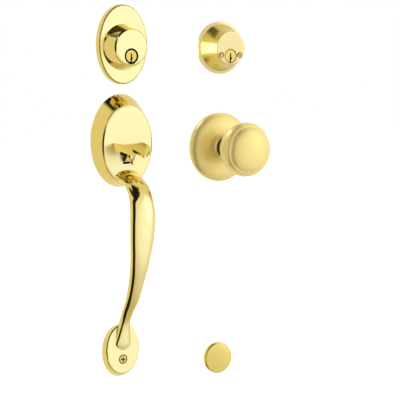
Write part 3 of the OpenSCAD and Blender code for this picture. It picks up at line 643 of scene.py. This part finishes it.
class HandlesetLook(bpy.types.PropertyGroup):
    """Colours and gloss of the set."""

    # The pale colour of the front-facing flats is a painted reflection of the bright front.
    pale: bpy.props.FloatVectorProperty(
        name="Painted pale flats", description="Colour of the flat polished faces",
        default=(0.95, 0.87, 0.44), subtype="COLOR", min=0.0, max=1.0)
    gold: bpy.props.FloatVectorProperty(
        name="Gold sides", description="Colour of the sides, the edges and the turned parts",
        default=(0.78, 0.61, 0.16), subtype="COLOR", min=0.0, max=1.0)
    soft: bpy.props.FloatVectorProperty(
        name="Soft brass", description="Colour of the knob and its rose",
        default=(0.92, 0.75, 0.28), subtype="COLOR", min=0.0, max=1.0)
    zinc: bpy.props.FloatVectorProperty(
        name="Zinc", description="Colour of the plated steel parts",
        default=(0.55, 0.56, 0.58), subtype="COLOR", min=0.0, max=1.0)
    gloss: bpy.props.FloatProperty(
        name="Mirror roughness", description="Roughness of the mirror polish",
        default=0.05, subtype="FACTOR", min=0.0, max=0.5)
    satin: bpy.props.FloatProperty(
        name="Soft roughness", description="Roughness of the soft brass",
        default=0.36, subtype="FACTOR", min=0.0, max=0.8)


class HandlesetSizes(bpy.types.PropertyGroup):
    """Sizes that the dressing adds to the frame."""

    edge: bpy.props.FloatProperty(
        name="Edge", description="Rounding of the machined edges",
        default=0.25 * MM, unit="LENGTH", precision=5, min=0.05 * MM, max=0.6 * MM)
    root_flare: bpy.props.FloatProperty(
        name="Root flare", description="How far the grip widens where it leaves its plate",
        default=2.2 * MM, unit="LENGTH", precision=5, min=0.0, max=4.0 * MM)
    thread_pitch: bpy.props.FloatProperty(
        name="Thread pitch", description="Pitch of the machine screws",
        default=0.8 * MM, unit="LENGTH", precision=5, min=0.5 * MM, max=1.5 * MM)


# ---- outside deadbolt

class HANDLESET_OT_deadbolt(bpy.types.Operator):
    """Dresses the outside deadbolt: pressed oval plate, tapered cylinder and plug"""
    bl_idname = "handleset.deadbolt"
    bl_label = "Outside deadbolt"

    def execute(self, context):
        self.plate()
        self.housing()
        plug_piece("deadbolt_plug", OUTSIDE_X, OUTER_PLUG_Z, OUTER_FACE, 6.35)
        core_parts("deadbolt")
        return {"FINISHED"}

    def plate(self):
        """Pressed sheet with a rolled edge and a round hole with a small lead-in."""
        z = DEADBOLT_Z
        half_w, half_h, rise, edge, sheet, lean = 31.0, 44.6, 7.0, 1.7, 1.6, 0.5
        hole, middle = 22.8, z + 3

        def ring(inset, depth):
            return oval_ring(half_w - inset, half_h - inset, depth, 0, middle)
        rings = [ring(0, 0.0)]
        rings += [ring(lean + cut, rise - drop) for cut, drop in eased(edge)]
        rings.append(ring(edge + 1.5, rise))
        rings.append(disc_ring(hole + 0.3, rise, 0, z))
        rings.append(disc_ring(hole, rise - 0.3, 0, z))
        rings.append(disc_ring(hole, rise - sheet, 0, z))
        rings.append(ring(sheet + 0.6, rise - sheet))
        rings.append(ring(sheet, rise - sheet - 0.6))
        rings.append(ring(sheet, 0.0))
        piece = shade(mesh_piece("deadbolt_plate_dressed", *loft(rings, closed=True)), 40)
        flats(piece)
        dress(piece, "polished_brass", "deadbolt_plate",
              inside=lambda c, n: n.y > 0.5 or c.y > 0.4 - rise and hypot(c.x, c.z - z) > hole + 0.7
              and hypot(c.x / (half_w - 0.8), (c.z - middle) / (half_h - 0.8)) < 1)

    def housing(self):
        """Tapered cylinder with a rounded front edge and two threaded posts behind."""
        neck, foot, front, step = 22.5, 25.8, 20.4, 7.0
        profile = [(neck, 0.0), (neck, step), (foot - 0.4, step), (foot - 0.1, step + 0.3)]
        for cut, drop in eased(1.9):
            width = front + (foot - front) * drop / (OUTER_FACE - step)
            profile.append((width - cut, OUTER_FACE - drop))
        profile.append((front - 2.5, OUTER_FACE))
        piece = mesh_piece("deadbolt_housing_dressed",
                           *loft([disc_ring(r, d, 0, DEADBOLT_Z, 192) for r, d in profile]))
        x, z = DEADBOLT_SCREW_X, DEADBOLT_SCREW_Z
        carve(piece, [rod_piece("post", 3.4, (s * x, 17, z), (s * x, -1, z)) for s in SIDES], "UNION")
        cutters = core_cutters(OUTSIDE_X, OUTER_PLUG_Z, OUTER_FACE)
        cutters += [rod_piece("tap", 1.9, (s * x, 18, z), (s * x, -9, z)) for s in SIDES]
        carve(piece, cutters)
        shade(piece, 34)
        flats(piece)
        dress(piece, "polished_brass", "deadbolt_housing", inside=lambda c, n: n.y > 0.7 or c.y > 0.1)
        # Painted shade in the recess round the plug.
        blacken(piece, plug_ring(OUTSIDE_X, OUTER_PLUG_Z, OUTER_FACE))


def core_cutters(x, z, face, lead=9.6):
    """Cutters for the plug, its clip, its pins and the strip that closes the pin chambers."""
    made = [rod_piece("bore", PLUG_R, (x, 2, z), (x, -30, z)),
            rod_piece("lead", PLUG_R, (x, 1.1 - face, z), (x, -0.9 - face, z), end_radius=lead),
            rod_piece("clip_room", 8.9, (x, 1, z), (x, -1.6, z))]
    for k in range(PIN_COUNT):
        y = FIRST_PIN - face + PIN_PITCH * k
        made.append(rod_piece("pin_bore", PIN_R + 0.1, (x, y, z), (x, y, z + 17.3), "Z"))
    made.append(box_piece("cover_slot", (x - 2.05, 4.55 - face, z + 17.25), (x + 2.05, 1, z + 18.6)))
    return made


def plug_ring(x, z, face):
    """Tells which faces of a cylinder lie in the recess round its plug, where shade is painted."""
    return lambda c, n: hypot(c.x - x, c.z - z) < 9.4 and face - 1.6 < -c.y < face - 0.01


def plug_piece(node, x, z, face, rim_radius):
    """Plug with a bevelled rim and a keyway, with painted shade on the faces just behind its front."""
    piece = copy_of(node)
    corners = ((rim_radius, face - 0.2), (9.0, face + 1.0), (9.0, face - 2.5))
    rim = [disc_ring(r, d, x, z, 96) for r, d in corners]
    carve(piece, [mesh_piece("rim", *loft(rim, closed=True))])
    round_edges(piece, 0.1)
    dress(piece, "turned_brass", node)
    # Painted shade on the keyway walls and the rim faces just behind the front.
    blacken(piece, lambda c, n: -c.y > face - 3 and n.y > -0.8 and -c.y < face - 0.31)
    return piece


def core_parts(side):
    """Dresses the small parts behind a plug."""
    edge = bpy.context.scene.handleset_sizes.edge / MM
    polished_copy(side + "_pin_cover", "turned_brass", 0.1)
    polished_copy(side + "_clip", "zinc_steel", 0.12)
    polished_copy(side + "_tailpiece", "zinc_steel", edge)


# ---- handle

GRIP = [
    (13.0, -30.0, 13.9, 6.5), (20.0, -31.0, 13.9, 6.5), (30.7, -33.9, 13.6, 6.5),
    (40.2, -40.2, 13.6, 6.5), (47.1, -49.0, 14.0, 6.5), (51.3, -60.3, 14.8, 6.5),
    (52.9, -75.0, 15.4, 6.5), (51.3, -96.5, 14.4, 6.5), (47.3, -119.0, 11.9, 6.3),
    (40.2, -141.8, 9.5, 6.0), (30.7, -163.9, 8.0, 5.5), (21.2, -177.6, 6.9, 5.1),
    (13.5, -190.1, 6.3, 5.2), (10.4, -200.3, 7.4, 5.1), (8.5, -210.1, 9.0, 5.0),
    (7.4, -218.8, 9.9, 4.1), (5.6, -227.7, 6.5, 2.3)]


def curve_point(points, u):
    """A point on the smooth curve through points."""
    i = min(int(u), len(points) - 2)
    t = u - i
    a, b = points[max(i - 1, 0)], points[i]
    c, d = points[i + 1], points[min(i + 2, len(points) - 1)]
    return tuple(0.5 * (2 * q + (r - p) * t + (2 * p - 5 * q + 4 * r - s) * t * t
                        + (3 * q - p - 3 * r + s) * t ** 3) for p, q, r, s in zip(a, b, c, d))


def grip_rings(flare, steps=8, count=64):
    """Rings across the grip, flared where it leaves the face of the plate."""
    total = (len(GRIP) - 1) * steps
    line = [curve_point(GRIP, k / steps) for k in range(total + 1)]
    rings = []
    for k, (depth, z, half_w, half_t) in enumerate(line):
        before, after = line[max(k - 1, 0)], line[min(k + 1, total)]
        dy, dz = after[0] - before[0], after[1] - before[1]
        size = hypot(dy, dz)
        dy, dz = dy / size, dz / size
        swell = flare * max(0.0, 1.0 - max(depth - 18.0, 0.0) / 5.0) ** 2 if z > -40 else 0.0
        ring = []
        for s in range(count):
            a = tau * s / count
            w, t = (half_w + swell) * cos(a), (half_t + swell) * sin(a)
            ring.append((w, -(depth + t * dz), z - t * dy))
        rings.append(ring)
    return rings


def escutcheon_taper(depth):
    """The escutcheon's share of its size at a depth, and how high its middle lies there."""
    share = depth / ESCUTCHEON_DEPTH
    return 1 - 0.162 * share, ESCUTCHEON_Z - 3.8 * share


class HANDLESET_OT_handle(bpy.types.Operator):
    """Dresses the handle: oval plate, grip and lower rose in one polished casting, and its screw"""
    bl_idname = "handleset.handle"
    bl_label = "Handle casting"

    def execute(self, context):
        piece = self.shell()
        slot_x, slot_low, slot_high = 6.2, -16.4, -7.2
        carve(piece, [box_piece("slot", (-slot_x, -22, slot_low), (slot_x, -13.5, slot_high))])
        carve(piece, self.posts(), "UNION")
        flare = context.scene.handleset_sizes.root_flare / MM
        carve(piece, [mesh_piece("grip", *loft(grip_rings(flare)))], "UNION")
        carve(piece, [self.rose()], "UNION")
        x = LATCH_POST_X
        bores = [rod_piece("bore", 1.7, (s * x, 25.5, 0), (s * x, -9, 0)) for s in SIDES]
        bores.append(rod_piece("pivot", 1.55, (-13, PIVOT.y, PIVOT.z), (13, PIVOT.y, PIVOT.z), "X"))
        bores.append(rod_piece("screw", 2.4, (0, 1, SCREW_Z), (0, -12, SCREW_Z)))
        bores.append(rod_piece("sink", 2.15, (0, -6.8, SCREW_Z), (0, -9.9, SCREW_Z), end_radius=6.9))
        carve(piece, bores)
        shade(piece, 34)
        flats(piece)
        dress(piece, "buffed_brass", "handle_casting", inside=self.raw)
        # Painted shade in the recess of the screw and in the thumbpiece's slot.
        blacken(piece, lambda c, n: hypot(c.x, c.z - SCREW_Z) < 5.5 and -8.85 < c.y < -5
                or abs(c.x) < slot_x + 0.1 and slot_low - 0.1 < c.z < slot_high + 0.1
                and 0.1 - ESCUTCHEON_DEPTH < c.y < -13.4)
        self.screw()
        screw_thread("lower_screw_thread", "turned_brass", (0, 4, SCREW_Z), 2.0, 18.0, 2.0, wire=0.0003)
        return {"FINISHED"}

    def screw(self):
        """Oval head screw with a deep cross recess."""
        piece = copy_of("lower_screw")
        arms = [(2.7, 0.62), (0.62, 2.7)]
        carve(piece, [box_piece("arm", (-w, -12, SCREW_Z - h), (w, -8.4, SCREW_Z + h)) for w, h in arms])
        round_edges(piece, 0.1)
        dress(piece, "turned_brass", "lower_screw")
        # Painted shade in the cross recess.
        blacken(piece, lambda c, n: c.y < -7 and hypot(c.x, c.z - SCREW_Z) < 2.8
                and (n.y > -0.5 or c.y > -8.5))

    def shell(self):
        """Oval plate that narrows to its face, hollow behind."""
        depth, wall, edge = ESCUTCHEON_DEPTH, 2.6, 1.8

        def ring(d, inset, cut=0.0):
            k, z = escutcheon_taper(d)
            w, h = ESCUTCHEON_W * k, ESCUTCHEON_H * k
            return oval_ring(w - inset - cut, h - inset - cut, d, 0, z, 192)
        rings = [ring(15.4, wall, 1.5), ring(15.0, wall, 0.4), ring(14.2, wall), ring(0.0, wall)]
        rings.append(ring(0.0, 0.0))
        rings += [ring(depth - drop, 0.0, cut) for cut, drop in eased(edge)]
        rings.append(ring(depth, 0.0, edge + 0.8))
        return mesh_piece("handle_casting_dressed", *loft(rings))

    def rose(self):
        """Oval foot of the handle with a rounded rim."""
        depth, edge = ROSE_DEPTH, 1.4

        def ring(d, cut=0.0):
            k = 1 - 0.05 * d / depth
            return oval_ring(22.2 * k - cut, 29.8 * k - cut, d, 0, ROSE_Z + 2.4 * d / depth, 192)
        rings = [ring(0.0)] + [ring(depth - drop, cut) for cut, drop in eased(edge)]
        rings.append(ring(depth, edge + 0.8))
        return mesh_piece("rose", *loft(rings))

    def posts(self):
        """Two posts behind the plate, and the lugs that hold the thumbpiece's pin."""
        made = []
        for side in SIDES:
            x = side * LATCH_POST_X
            made.append(rod_piece("post", 5.0, (x, 4, 0), (x, -16.4, 0)))
            made.append(rod_piece("post_end", 3.5, (x, 25, 0), (x, 3, 0)))
            low = 8.9 if side > 0 else -11.9
            made.append(box_piece("lug", (low, -16.4, -16), (low + 3, -5, -8)))
        return made

    @staticmethod
    def raw(c, n):
        """The hollow and the back are left as cast."""
        if n.y > 0.7:
            return True
        k, z = escutcheon_taper(-c.y)
        w, h = ESCUTCHEON_W * k - 1.6, ESCUTCHEON_H * k - 1.6
        return c.y > -15.6 and hypot(c.x / w, (c.z - z) / h) < 1


# ---- thumbpiece

def pad_point(i, j, cols, rows):
    """A point of the pad's top: a sloping saddle, hollow for the thumb, two lobes in front."""
    half_w, reach, root = 22.0, 25.0, 1.2
    u = 2 * i / cols - 1
    v = j / rows
    half = half_w * (0.82 + 0.18 * sin(pi * v))
    if v >= 0.5:
        half *= 1 - 0.30 * (2 * v - 1) ** 2
    notch = 0.62 * exp(-(u / 0.36) ** 2)
    tip = reach * (1.02 - 0.16 * u ** 4) * (1 - notch)
    x = u * half
    y = root + (tip - root) * v
    z = 7.0 - tan(radians(25)) * y + 3.2 * (x / half_w) ** 2 * (1 - 0.5 * y / reach)
    z -= 0.5 * cos(pi * (y / reach - 0.5))
    return x, -ESCUTCHEON_DEPTH - y, z


class HANDLESET_OT_thumbpiece(bpy.types.Operator):
    """Dresses the thumbpiece with its pad and stem, its pin and its spring"""
    bl_idname = "handleset.thumbpiece"
    bl_label = "Thumbpiece"

    def execute(self, context):
        piece = self.pad()
        carve(piece, [self.stem()], "UNION")
        y, z = PIVOT.y, PIVOT.z
        carve(piece, [rod_piece("hub", 4.0, (-5.5, y, z), (5.5, y, z), "X")], "UNION")
        carve(piece, [rod_piece("hole", 1.65, (-9, y, z), (9, y, z), "X")])
        round_edges(piece, 0.5, 3, 42.0)
        dress(piece, "buffed_brass", "thumbpiece")
        # Painted shade on the stem inside the slot and on the stem's left side under the pad.
        blacken(piece, lambda c, n: c.y > -ESCUTCHEON_DEPTH - 0.2 or n.x < -0.8 and abs(c.x) < 3.4)
        polished_copy("thumbpiece_pin", "zinc_steel", 0.2)
        grown_node("thumbpiece_spring", coil_tree(), "zinc_steel", ALONG_X, (6.4, y, z),
                   radius=0.0026, wire=0.0004, height=0.0017, turns=2.0)
        return {"FINISHED"}

    def pad(self):
        """The pad's top and underside, joined round its rim."""
        cols, rows, thick = 48, 24, 3.2
        top = [pad_point(i, j, cols, rows) for j in range(rows + 1) for i in range(cols + 1)]
        low = [(x, y, z - thick) for x, y, z in top]
        row, half = cols + 1, len(top)
        faces = []
        for j in range(rows):
            for i in range(cols):
                a = j * row + i
                faces.append((a, a + row, a + row + 1, a + 1))
                faces.append((half + a, half + a + 1, half + a + row + 1, half + a + row))
        rim = list(range(cols)) + [j * row + cols for j in range(rows)]
        rim += [rows * row + i for i in range(cols, 0, -1)] + [j * row for j in range(rows, 0, -1)]
        for k, a in enumerate(rim):
            b = rim[(k + 1) % len(rim)]
            faces.append((a, b, half + b, half + a))
        piece = mesh_piece("thumbpiece_dressed", top + low, faces)
        return round_edges(piece, 1.1, 4, 50.0)

    def stem(self):
        """The stem under the pad, narrow behind the plate and wide where it carries the pad."""
        outline = [(-9, -10.4), (-9, -7.0), (3, -7.0), (9, -8.0), (17.2, -8.0), (19.6, -6.8), (20.4, -3.0),
                   (20.0, 5.0), (29.5, 0.4), (26.6, -4.0), (24.6, -8.4), (22.4, -11.1), (19.4, -12.4),
                   (9, -12.4), (4, -12.4)]
        made = []
        for half, low, high in ((3.0, -20.0, 9.0), (5.5, 4.0, 60.0)):
            ends = [[(x, -d, z) for d, z in outline] for x in (-half, half)]
            bar = mesh_piece("stem", *loft(ends))
            block = box_piece("keep", (-20, -high, -40), (20, -low, 40))
            made.append(carve(bar, [block], "INTERSECT"))
        return carve(made[0], [made[1]], "UNION")


# ---- latch parts

class HANDLESET_OT_latch(bpy.types.Operator):
    """Dresses the bracket, lever and rivet behind the handle"""
    bl_idname = "handleset.latch"
    bl_label = "Latch lever"

    def execute(self, context):
        edge = context.scene.handleset_sizes.edge / MM
        polished_copy("latch_bracket", "zinc_steel", edge)
        polished_copy("latch_lever", "zinc_steel", edge)
        polished_copy("latch_rivet", "black_steel", edge)
        return {"FINISHED"}


# ---- inside deadbolt

class HANDLESET_OT_inner_deadbolt(bpy.types.Operator):
    """Dresses the inside deadbolt: flared cylinder, plug and its two screws"""
    bl_idname = "handleset.inner_deadbolt"
    bl_label = "Inside deadbolt"

    def execute(self, context):
        self.housing()
        plug_piece("inner_plug", INSIDE_X, INNER_PLUG_Z, INNER_FACE, 7.0)
        core_parts("inner")
        polished_copy("inner_screws", "turned_brass", 0.15)
        pitch = context.scene.handleset_sizes.thread_pitch / MM
        screw_thread("inner_screw_threads", "turned_brass",
                     (INSIDE_X - DEADBOLT_SCREW_X, 1.0, DEADBOLT_SCREW_Z), 2.0, 16.0, pitch,
                     count=2, step_x=2 * DEADBOLT_SCREW_X * MM)
        return {"FINISHED"}

    def housing(self):
        """Flange, flared side and flat face, with the bores of the plug and the screws."""
        x, z = INSIDE_X, DEADBOLT_Z
        flange, foot, drawn_in, waist, rise = 2.0, 26.8, 8.1, 1.1, 22.6
        profile = [(29.9, 0.0), (29.9, 1.2), (29.75, 1.5), (29.4, 1.65), (28.0, flange)]
        for k in range(1, 33):
            t = k / 32
            radius = foot - drawn_in * t - waist * sin(pi * t)
            profile.append((radius, flange + rise * t - 0.5 * t * t))
        profile += [(18.62, 24.3), (18.4, 24.5), (18.1, 24.6), (16.8, 24.6)]
        rings = [disc_ring(r, d, x, z, 160) for r, d in profile]
        piece = mesh_piece("inner_housing_dressed", *loft(rings))
        cutters = core_cutters(x, INNER_PLUG_Z, INNER_FACE, 8.4)
        for s in SIDES:
            at, low = x + s * DEADBOLT_SCREW_X, DEADBOLT_SCREW_Z
            cutters.append(rod_piece("screw", 2.25, (at, 2, low), (at, -30, low)))
            cutters.append(rod_piece("seat", 3.45, (at, -23.1, low), (at, -30, low)))
        carve(piece, cutters)
        shade(piece, 30)
        dress(piece, "spun_brass", "inner_housing", inside=lambda c, n: n.y > 0.7)
        # Painted shade in the recess round the plug.
        blacken(piece, plug_ring(x, INNER_PLUG_Z, INNER_FACE))


# ---- pins

class HANDLESET_OT_pins(bpy.types.Operator):
    """Grows the pins and springs of both lock cores"""
    bl_idname = "handleset.pins"
    bl_label = "Lock pins"

    def execute(self, context):
        pins, coils = pin_tree(), coil_tree()
        row = {"count": PIN_COUNT, "step_y": PIN_PITCH * MM}
        key = {"radius": PIN_R * MM, "tip_radius": 0.0007, "tip": 0.0016, "length": 0.0057}
        driver = {"radius": PIN_R * MM, "tip_radius": 0.0011, "tip": 0.0002, "length": 0.0032}
        spring = {"radius": 0.00098, "wire": 0.00022, "height": 0.0057, "turns": 7.0, "steps": 16}
        parts = (("_key_pins", pins, "turned_brass", 0.0, key),
                 ("_driver_pins", pins, "turned_brass", 7.55, driver),
                 ("_pin_springs", coils, "zinc_steel", 11.25, spring))
        for side, x, z, face in (("deadbolt", OUTSIDE_X, OUTER_PLUG_Z, OUTER_FACE),
                                 ("inner", INSIDE_X, INNER_PLUG_Z, INNER_FACE)):
            for part, tree, finish, lift, values in parts:
                place = (x, FIRST_PIN - face, z + lift)
                grown_node(side + part, tree, finish, ALONG_Z, place, **values, **row)
        return {"FINISHED"}


# ---- knob

class HANDLESET_OT_knob(bpy.types.Operator):
    """Dresses the knob, its rose, shank, spindle, plate, spring and screws"""
    bl_idname = "handleset.knob"
    bl_label = "Inside knob"

    def execute(self, context):
        self.shell()
        self.rose()
        edge = context.scene.handleset_sizes.edge / MM
        for node, finish in (("knob_shank", "zinc_steel"), ("knob_spindle", "zinc_steel"),
                             ("rose_plate", "zinc_steel"), ("rose_screws", "zinc_steel"),
                             ("knob_clip", "black_steel")):
            polished_copy(node, finish, edge)
        grown_node("knob_spring", coil_tree(), "black_steel", TO_FRONT, (INSIDE_X, -3.8, 0),
                   radius=0.01185, wire=0.0007, height=0.0045, turns=3.0, steps=48)
        pitch = context.scene.handleset_sizes.thread_pitch / MM
        screw_thread("rose_screw_threads", "zinc_steel", (INSIDE_X - LATCH_POST_X, 1.0, 0), 2.0, 22.0,
                     pitch, count=2, step_x=2 * LATCH_POST_X * MM)
        return {"FINISHED"}

    def shell(self):
        """Spun knob: slender neck, flared body, crease and shallow dome."""
        neck, lip, crease = (10.3, 17.6), (30.6, 57.0), (26.0, 66.5)
        tip, dip = 74.5, 0.5
        profile = [(8.85, 17.6), (9.9, 17.6), (10.2, 17.8)]
        for a in quarter(40):
            r = neck[0] + (lip[0] - neck[0]) * sin(a) ** 2.2
            profile.append((r, neck[1] + (lip[1] - neck[1]) * a / (pi / 2)))
        for a in quarter(16):
            r = lip[0] - (lip[0] - crease[0]) * (1 - cos(a))
            profile.append((r, lip[1] + (crease[1] - lip[1]) * sin(a)))
        low = crease[1] - dip
        profile += [(crease[0] * cos(a), low + (tip - low) * sin(a)) for a in quarter(32, 5)[:-1]]
        profile.append((0.25, tip))
        hollow = [(0.4, 72.9), (12, 71.6), (22, 68.0), (27, 62), (29, 57), (26, 46), (17, 34), (9.6, 25),
                  (8.85, 23)]
        outer = [disc_ring(r, d, INSIDE_X, 0, 128) for r, d in profile]
        inner = [disc_ring(r, d, INSIDE_X, 0, 128) for r, d in hollow]
        piece = shade(mesh_piece("knob_shell_dressed", *loft(inner + outer)), 30)
        dress(piece, "satin_brass", "knob_shell")

    def rose(self):
        """Domed rose with a stepped collar round the bearing."""
        collar, spread, rim, dome, sheet = 16.8, 22.6, 2.6, 9.0, 1.2
        profile = [(39.4, 0.0), (39.4, 2.2), (39.3, rim)]
        profile += [(collar + spread * cos(a), rim + dome * sin(a)) for a in quarter(32)]
        profile += [(collar, 12.8), (16.6, 13.0), (14.6, 13.0), (14.4, 13.2), (14.4, 15.0), (14.2, 15.4),
                    (13.0, 16.8), (12.6, 17.0), (10.9, 17.0), (10.75, 16.8), (10.75, 15.8)]
        within = collar - sheet
        inner = [(13.2, 14.4), (13.2, 11.8), (within, 11.6), (within, 10.4)]
        inner += [(within + spread * cos(a), 2.24 + 8.16 * sin(a)) for a in reversed(quarter(16, 0))]
        inner.append((38.2, 0.0))
        rings = [disc_ring(r, d, INSIDE_X, 0, 144) for r, d in profile + inner]
        piece = shade(mesh_piece("knob_rose_dressed", *loft(rings, closed=True)), 30)
        dress(piece, "satin_brass", "knob_rose",
              inside=lambda c, n: n.y > 0.1 or n.y > -0.2 and hypot(c.x - INSIDE_X, c.z) < 38.8
              and c.y > -11 and n.dot(Vector((c.x - INSIDE_X, 0, c.z))) < 0)
        # Painted shade on the collar's inner lip: the dark gap round the knob's neck.
        blacken(piece, lambda c, n: hypot(c.x - INSIDE_X, c.z) < 11.9 and c.y < -15.0)


# ---- cap

class HANDLESET_OT_cap(bpy.types.Operator):
    """Dresses the domed cap of the lower bolt and its threaded barrel"""
    bl_idname = "handleset.cap"
    bl_label = "Bolt cap"

    def execute(self, context):
        profile = [(16.7, 0.0), (18.2, 0.0)]
        flat, edge, side, dome = 16.0, 2.2, 2.6, 2.0
        for k in range(13):
            a = radians(82 * k / 12)
            profile.append((flat + edge * cos(a), side + edge * sin(a)))
        for k in range(1, 24):
            t = 1 - k / 24
            profile.append((flat * t, side + edge + dome * (1 - t * t)))
        profile.append((0.2, side + edge + dome))
        hollow = [(0.2, 3.25), (5.05, 3.25), (5.05, 0.05), (6.5, 0.05), (6.5, 3.25), (15.9, 3.3),
                  (16.7, 2.6)]
        rings = [disc_ring(r, d, INSIDE_X, CAP_Z, 128) for r, d in hollow + profile]
        piece = shade(mesh_piece("bolt_cap_dressed", *loft(rings)), 30)
        dress(piece, "cap_brass", "bolt_cap", inside=lambda c, n: n.y > 0.5)
        polished_copy("cap_barrel", "zinc_steel", 0.3)
        screw_thread("barrel_thread", "zinc_steel", (INSIDE_X, 0.8, CAP_Z), 4.8, 19.5, 0.975, wire=0.0003)
        return {"FINISHED"}


# ---- stage

class HANDLESET_OT_stage(bpy.types.Operator):
    """Sets the pale studio, its lamps and the camera"""
    bl_idname = "handleset.stage"
    bl_label = "Studio"

    def execute(self, context):
        self.world()
        self.floor()
        self.lamps()
        self.camera()
        context.scene.view_settings.view_transform = "Standard"
        return {"FINISHED"}

    def world(self):
        """White to the camera; to the brass a soft room with dark gaps between its panels."""
        world = bpy.data.worlds.new("studio")
        bpy.context.scene.world = world
        world.use_nodes = True
        world.node_tree.nodes.clear()
        g = Graph(world.node_tree)
        way = g.node("ShaderNodeTexCoord")("Generated")
        parts = g.node("ShaderNodeSeparateXYZ", {"Vector": way})
        x, y, z = parts("X"), parts("Y"), parts("Z")
        # Directions as the camera has them: to its right, and back towards it.
        aside = 0.857 * x - 0.515 * y
        toward = -0.515 * x - 0.857 * y
        skewed = aside - 0.25 * z.at_most(0.0) - 0.30 * g.between(z, 0.45, 0.65)
        left = 1 - g.between(skewed, 0.18, 0.30)
        # A dark gap that stands upright beside the viewer.
        strip = g.between(skewed, -0.48, -0.40) * (1 - g.between(skewed, 0.12, 0.21))
        strip = strip * g.between(toward, 0.0, 0.2)
        # The dark above and below that gap.
        ends = g.between(toward - 0.2 * g.between(z, -0.1, 0.1), 0.02, 0.16) * left
        ends = ends * g.between(abs(z), 0.60, 0.70) * (1 - g.between(z, 0.82, 0.90))
        # A dark patch overhead, behind the trim.
        over = g.between(z + 0.8 * y.at_least(0.0), 0.99, 1.05)
        over = over * (1 - g.between(x, 0.06, 0.20)) * (1 - g.between(y, 0.50, 0.60))
        dark = strip.at_least(ends.at_least(over))
        # Duller low on the right, brighter where a panel and the large lamp stand.
        khaki = g.between(z, -0.35, -0.90) * (1 - left)
        panel = g.between(0.513 * x - 0.854 * y - 0.087 * z, 0.80, 0.97)
        key = g.between(0.73 * x - 0.62 * y + 0.28 * z, 0.90, 0.99)
        level = (0.96 + 0.18 * panel + 0.65 * key) * (1 - 0.98 * dark) * (1 - 0.28 * khaki)
        tint = g.mix(panel, (1.0, 0.97, 0.90, 1.0), WHITE)
        room = g.node("ShaderNodeBackground", {"Color": tint, "Strength": level})("Background")
        white = g.node("ShaderNodeBackground", {"Color": WHITE, "Strength": 1.0})("Background")
        camera = g.node("ShaderNodeLightPath")("Is Camera Ray")
        mixed = g.node("ShaderNodeMixShader", {0: camera, 1: room, 2: white})("Shader")
        g.node("ShaderNodeOutputWorld", {"Surface": mixed})

    def floor(self):
        """Wide pale floor well below the hanging trim."""
        size, level = 6000.0, -345.0
        corners = [(x * size, y * size, level) for x, y in ((-1, -1), (1, -1), (1, 1), (-1, 1))]
        floor = mesh_piece("floor", corners, [(0, 1, 2, 3)])
        made = bpy.data.materials.new("floor_paper")
        made.use_nodes = True
        g = Graph(made.node_tree)
        shader = made.node_tree.nodes["Principled BSDF"]
        shader.inputs["Base Color"].default_value = (0.94, 0.94, 0.94, 1.0)
        shader.inputs["Roughness"].default_value = 0.9
        shader.inputs["Emission Color"].default_value = WHITE
        g.fill(shader.inputs["Emission Strength"], 0.55 * g.node("ShaderNodeLightPath")("Is Camera Ray"))
        floor.data.materials.append(made)
        floor.visible_glossy = False

    def lamps(self):
        """A large soft lamp, and a small one beside the inside cylinder."""
        lamps = (("key_lamp", (1.35, -1.25, 0.75), (0.06, 0.0, -0.05), 17.0, 2.4),
                 ("strip_lamp", (0.062, 0.022, 0.112), (0.110, -0.006, 0.114), 0.055, 0.052))
        for name, place, target, power, size in lamps:
            lamp = bpy.data.lights.new(name, "AREA")
            lamp.energy = power
            lamp.size = size
            holder = in_scene(name, lamp)
            holder.location = place
            holder.visible_camera = False
            # The square of the large lamp would show on the grip.
            holder.visible_glossy = name != "key_lamp"
            aim = Vector(target) - Vector(place)
            holder.rotation_euler = aim.to_track_quat("-Z", "Y").to_euler()

    def camera(self):
        """Camera of the photograph's view."""
        data = bpy.data.cameras.new("camera")
        data.sensor_width = 36.0
        data.lens = data.sensor_width * FOCAL_PIXELS / IMAGE
        data.clip_start, data.clip_end = 0.05, 40.0
        holder = in_scene("camera", data)
        place, target = Vector((-0.95707, -1.76758, 0.11891)), Vector((0.10453, 0.0, -0.06065))
        holder.location = place
        aim = (target - place).to_track_quat("-Z", "Y").to_matrix()
        roll = Matrix.Rotation(radians(0.45), 3, "Z")
        holder.rotation_euler = (aim @ roll).to_euler()
        bpy.context.scene.camera = holder


class HANDLESET_PT_panel(bpy.types.Panel):
    """Lists the pieces of the set and their settings"""
    bl_label = "Handleset"
    bl_idname = "HANDLESET_PT_panel"
    bl_space_type = "VIEW_3D"
    bl_region_type = "UI"
    bl_category = "Handleset"

    def draw(self, context):
        for group in (context.scene.handleset_look, context.scene.handleset_sizes):
            box = self.layout.box()
            for name in group.__annotations__:
                box.prop(group, name)
        for operator in OPERATORS:
            self.layout.operator(operator.bl_idname)


OPERATORS = (HANDLESET_OT_deadbolt, HANDLESET_OT_handle, HANDLESET_OT_thumbpiece, HANDLESET_OT_latch,
             HANDLESET_OT_inner_deadbolt, HANDLESET_OT_pins, HANDLESET_OT_knob, HANDLESET_OT_cap,
             HANDLESET_OT_stage)
CLASSES = (HandlesetLook, HandlesetSizes) + OPERATORS + (HANDLESET_PT_panel,)


def register():
    for cls in CLASSES:
        bpy.utils.register_class(cls)
    bpy.types.Scene.handleset_look = bpy.props.PointerProperty(type=HandlesetLook)
    bpy.types.Scene.handleset_sizes = bpy.props.PointerProperty(type=HandlesetSizes)


def unregister():
    del bpy.types.Scene.handleset_sizes
    del bpy.types.Scene.handleset_look
    for cls in reversed(CLASSES):
        bpy.utils.unregister_class(cls)


def main():
    register()
    bpy.ops.handleset.deadbolt()
    bpy.ops.handleset.handle()
    bpy.ops.handleset.thumbpiece()
    bpy.ops.handleset.latch()
    bpy.ops.handleset.inner_deadbolt()
    bpy.ops.handleset.pins()
    bpy.ops.handleset.knob()
    bpy.ops.handleset.cap()
    bpy.ops.handleset.stage()


if __name__ == "__main__":
    main()
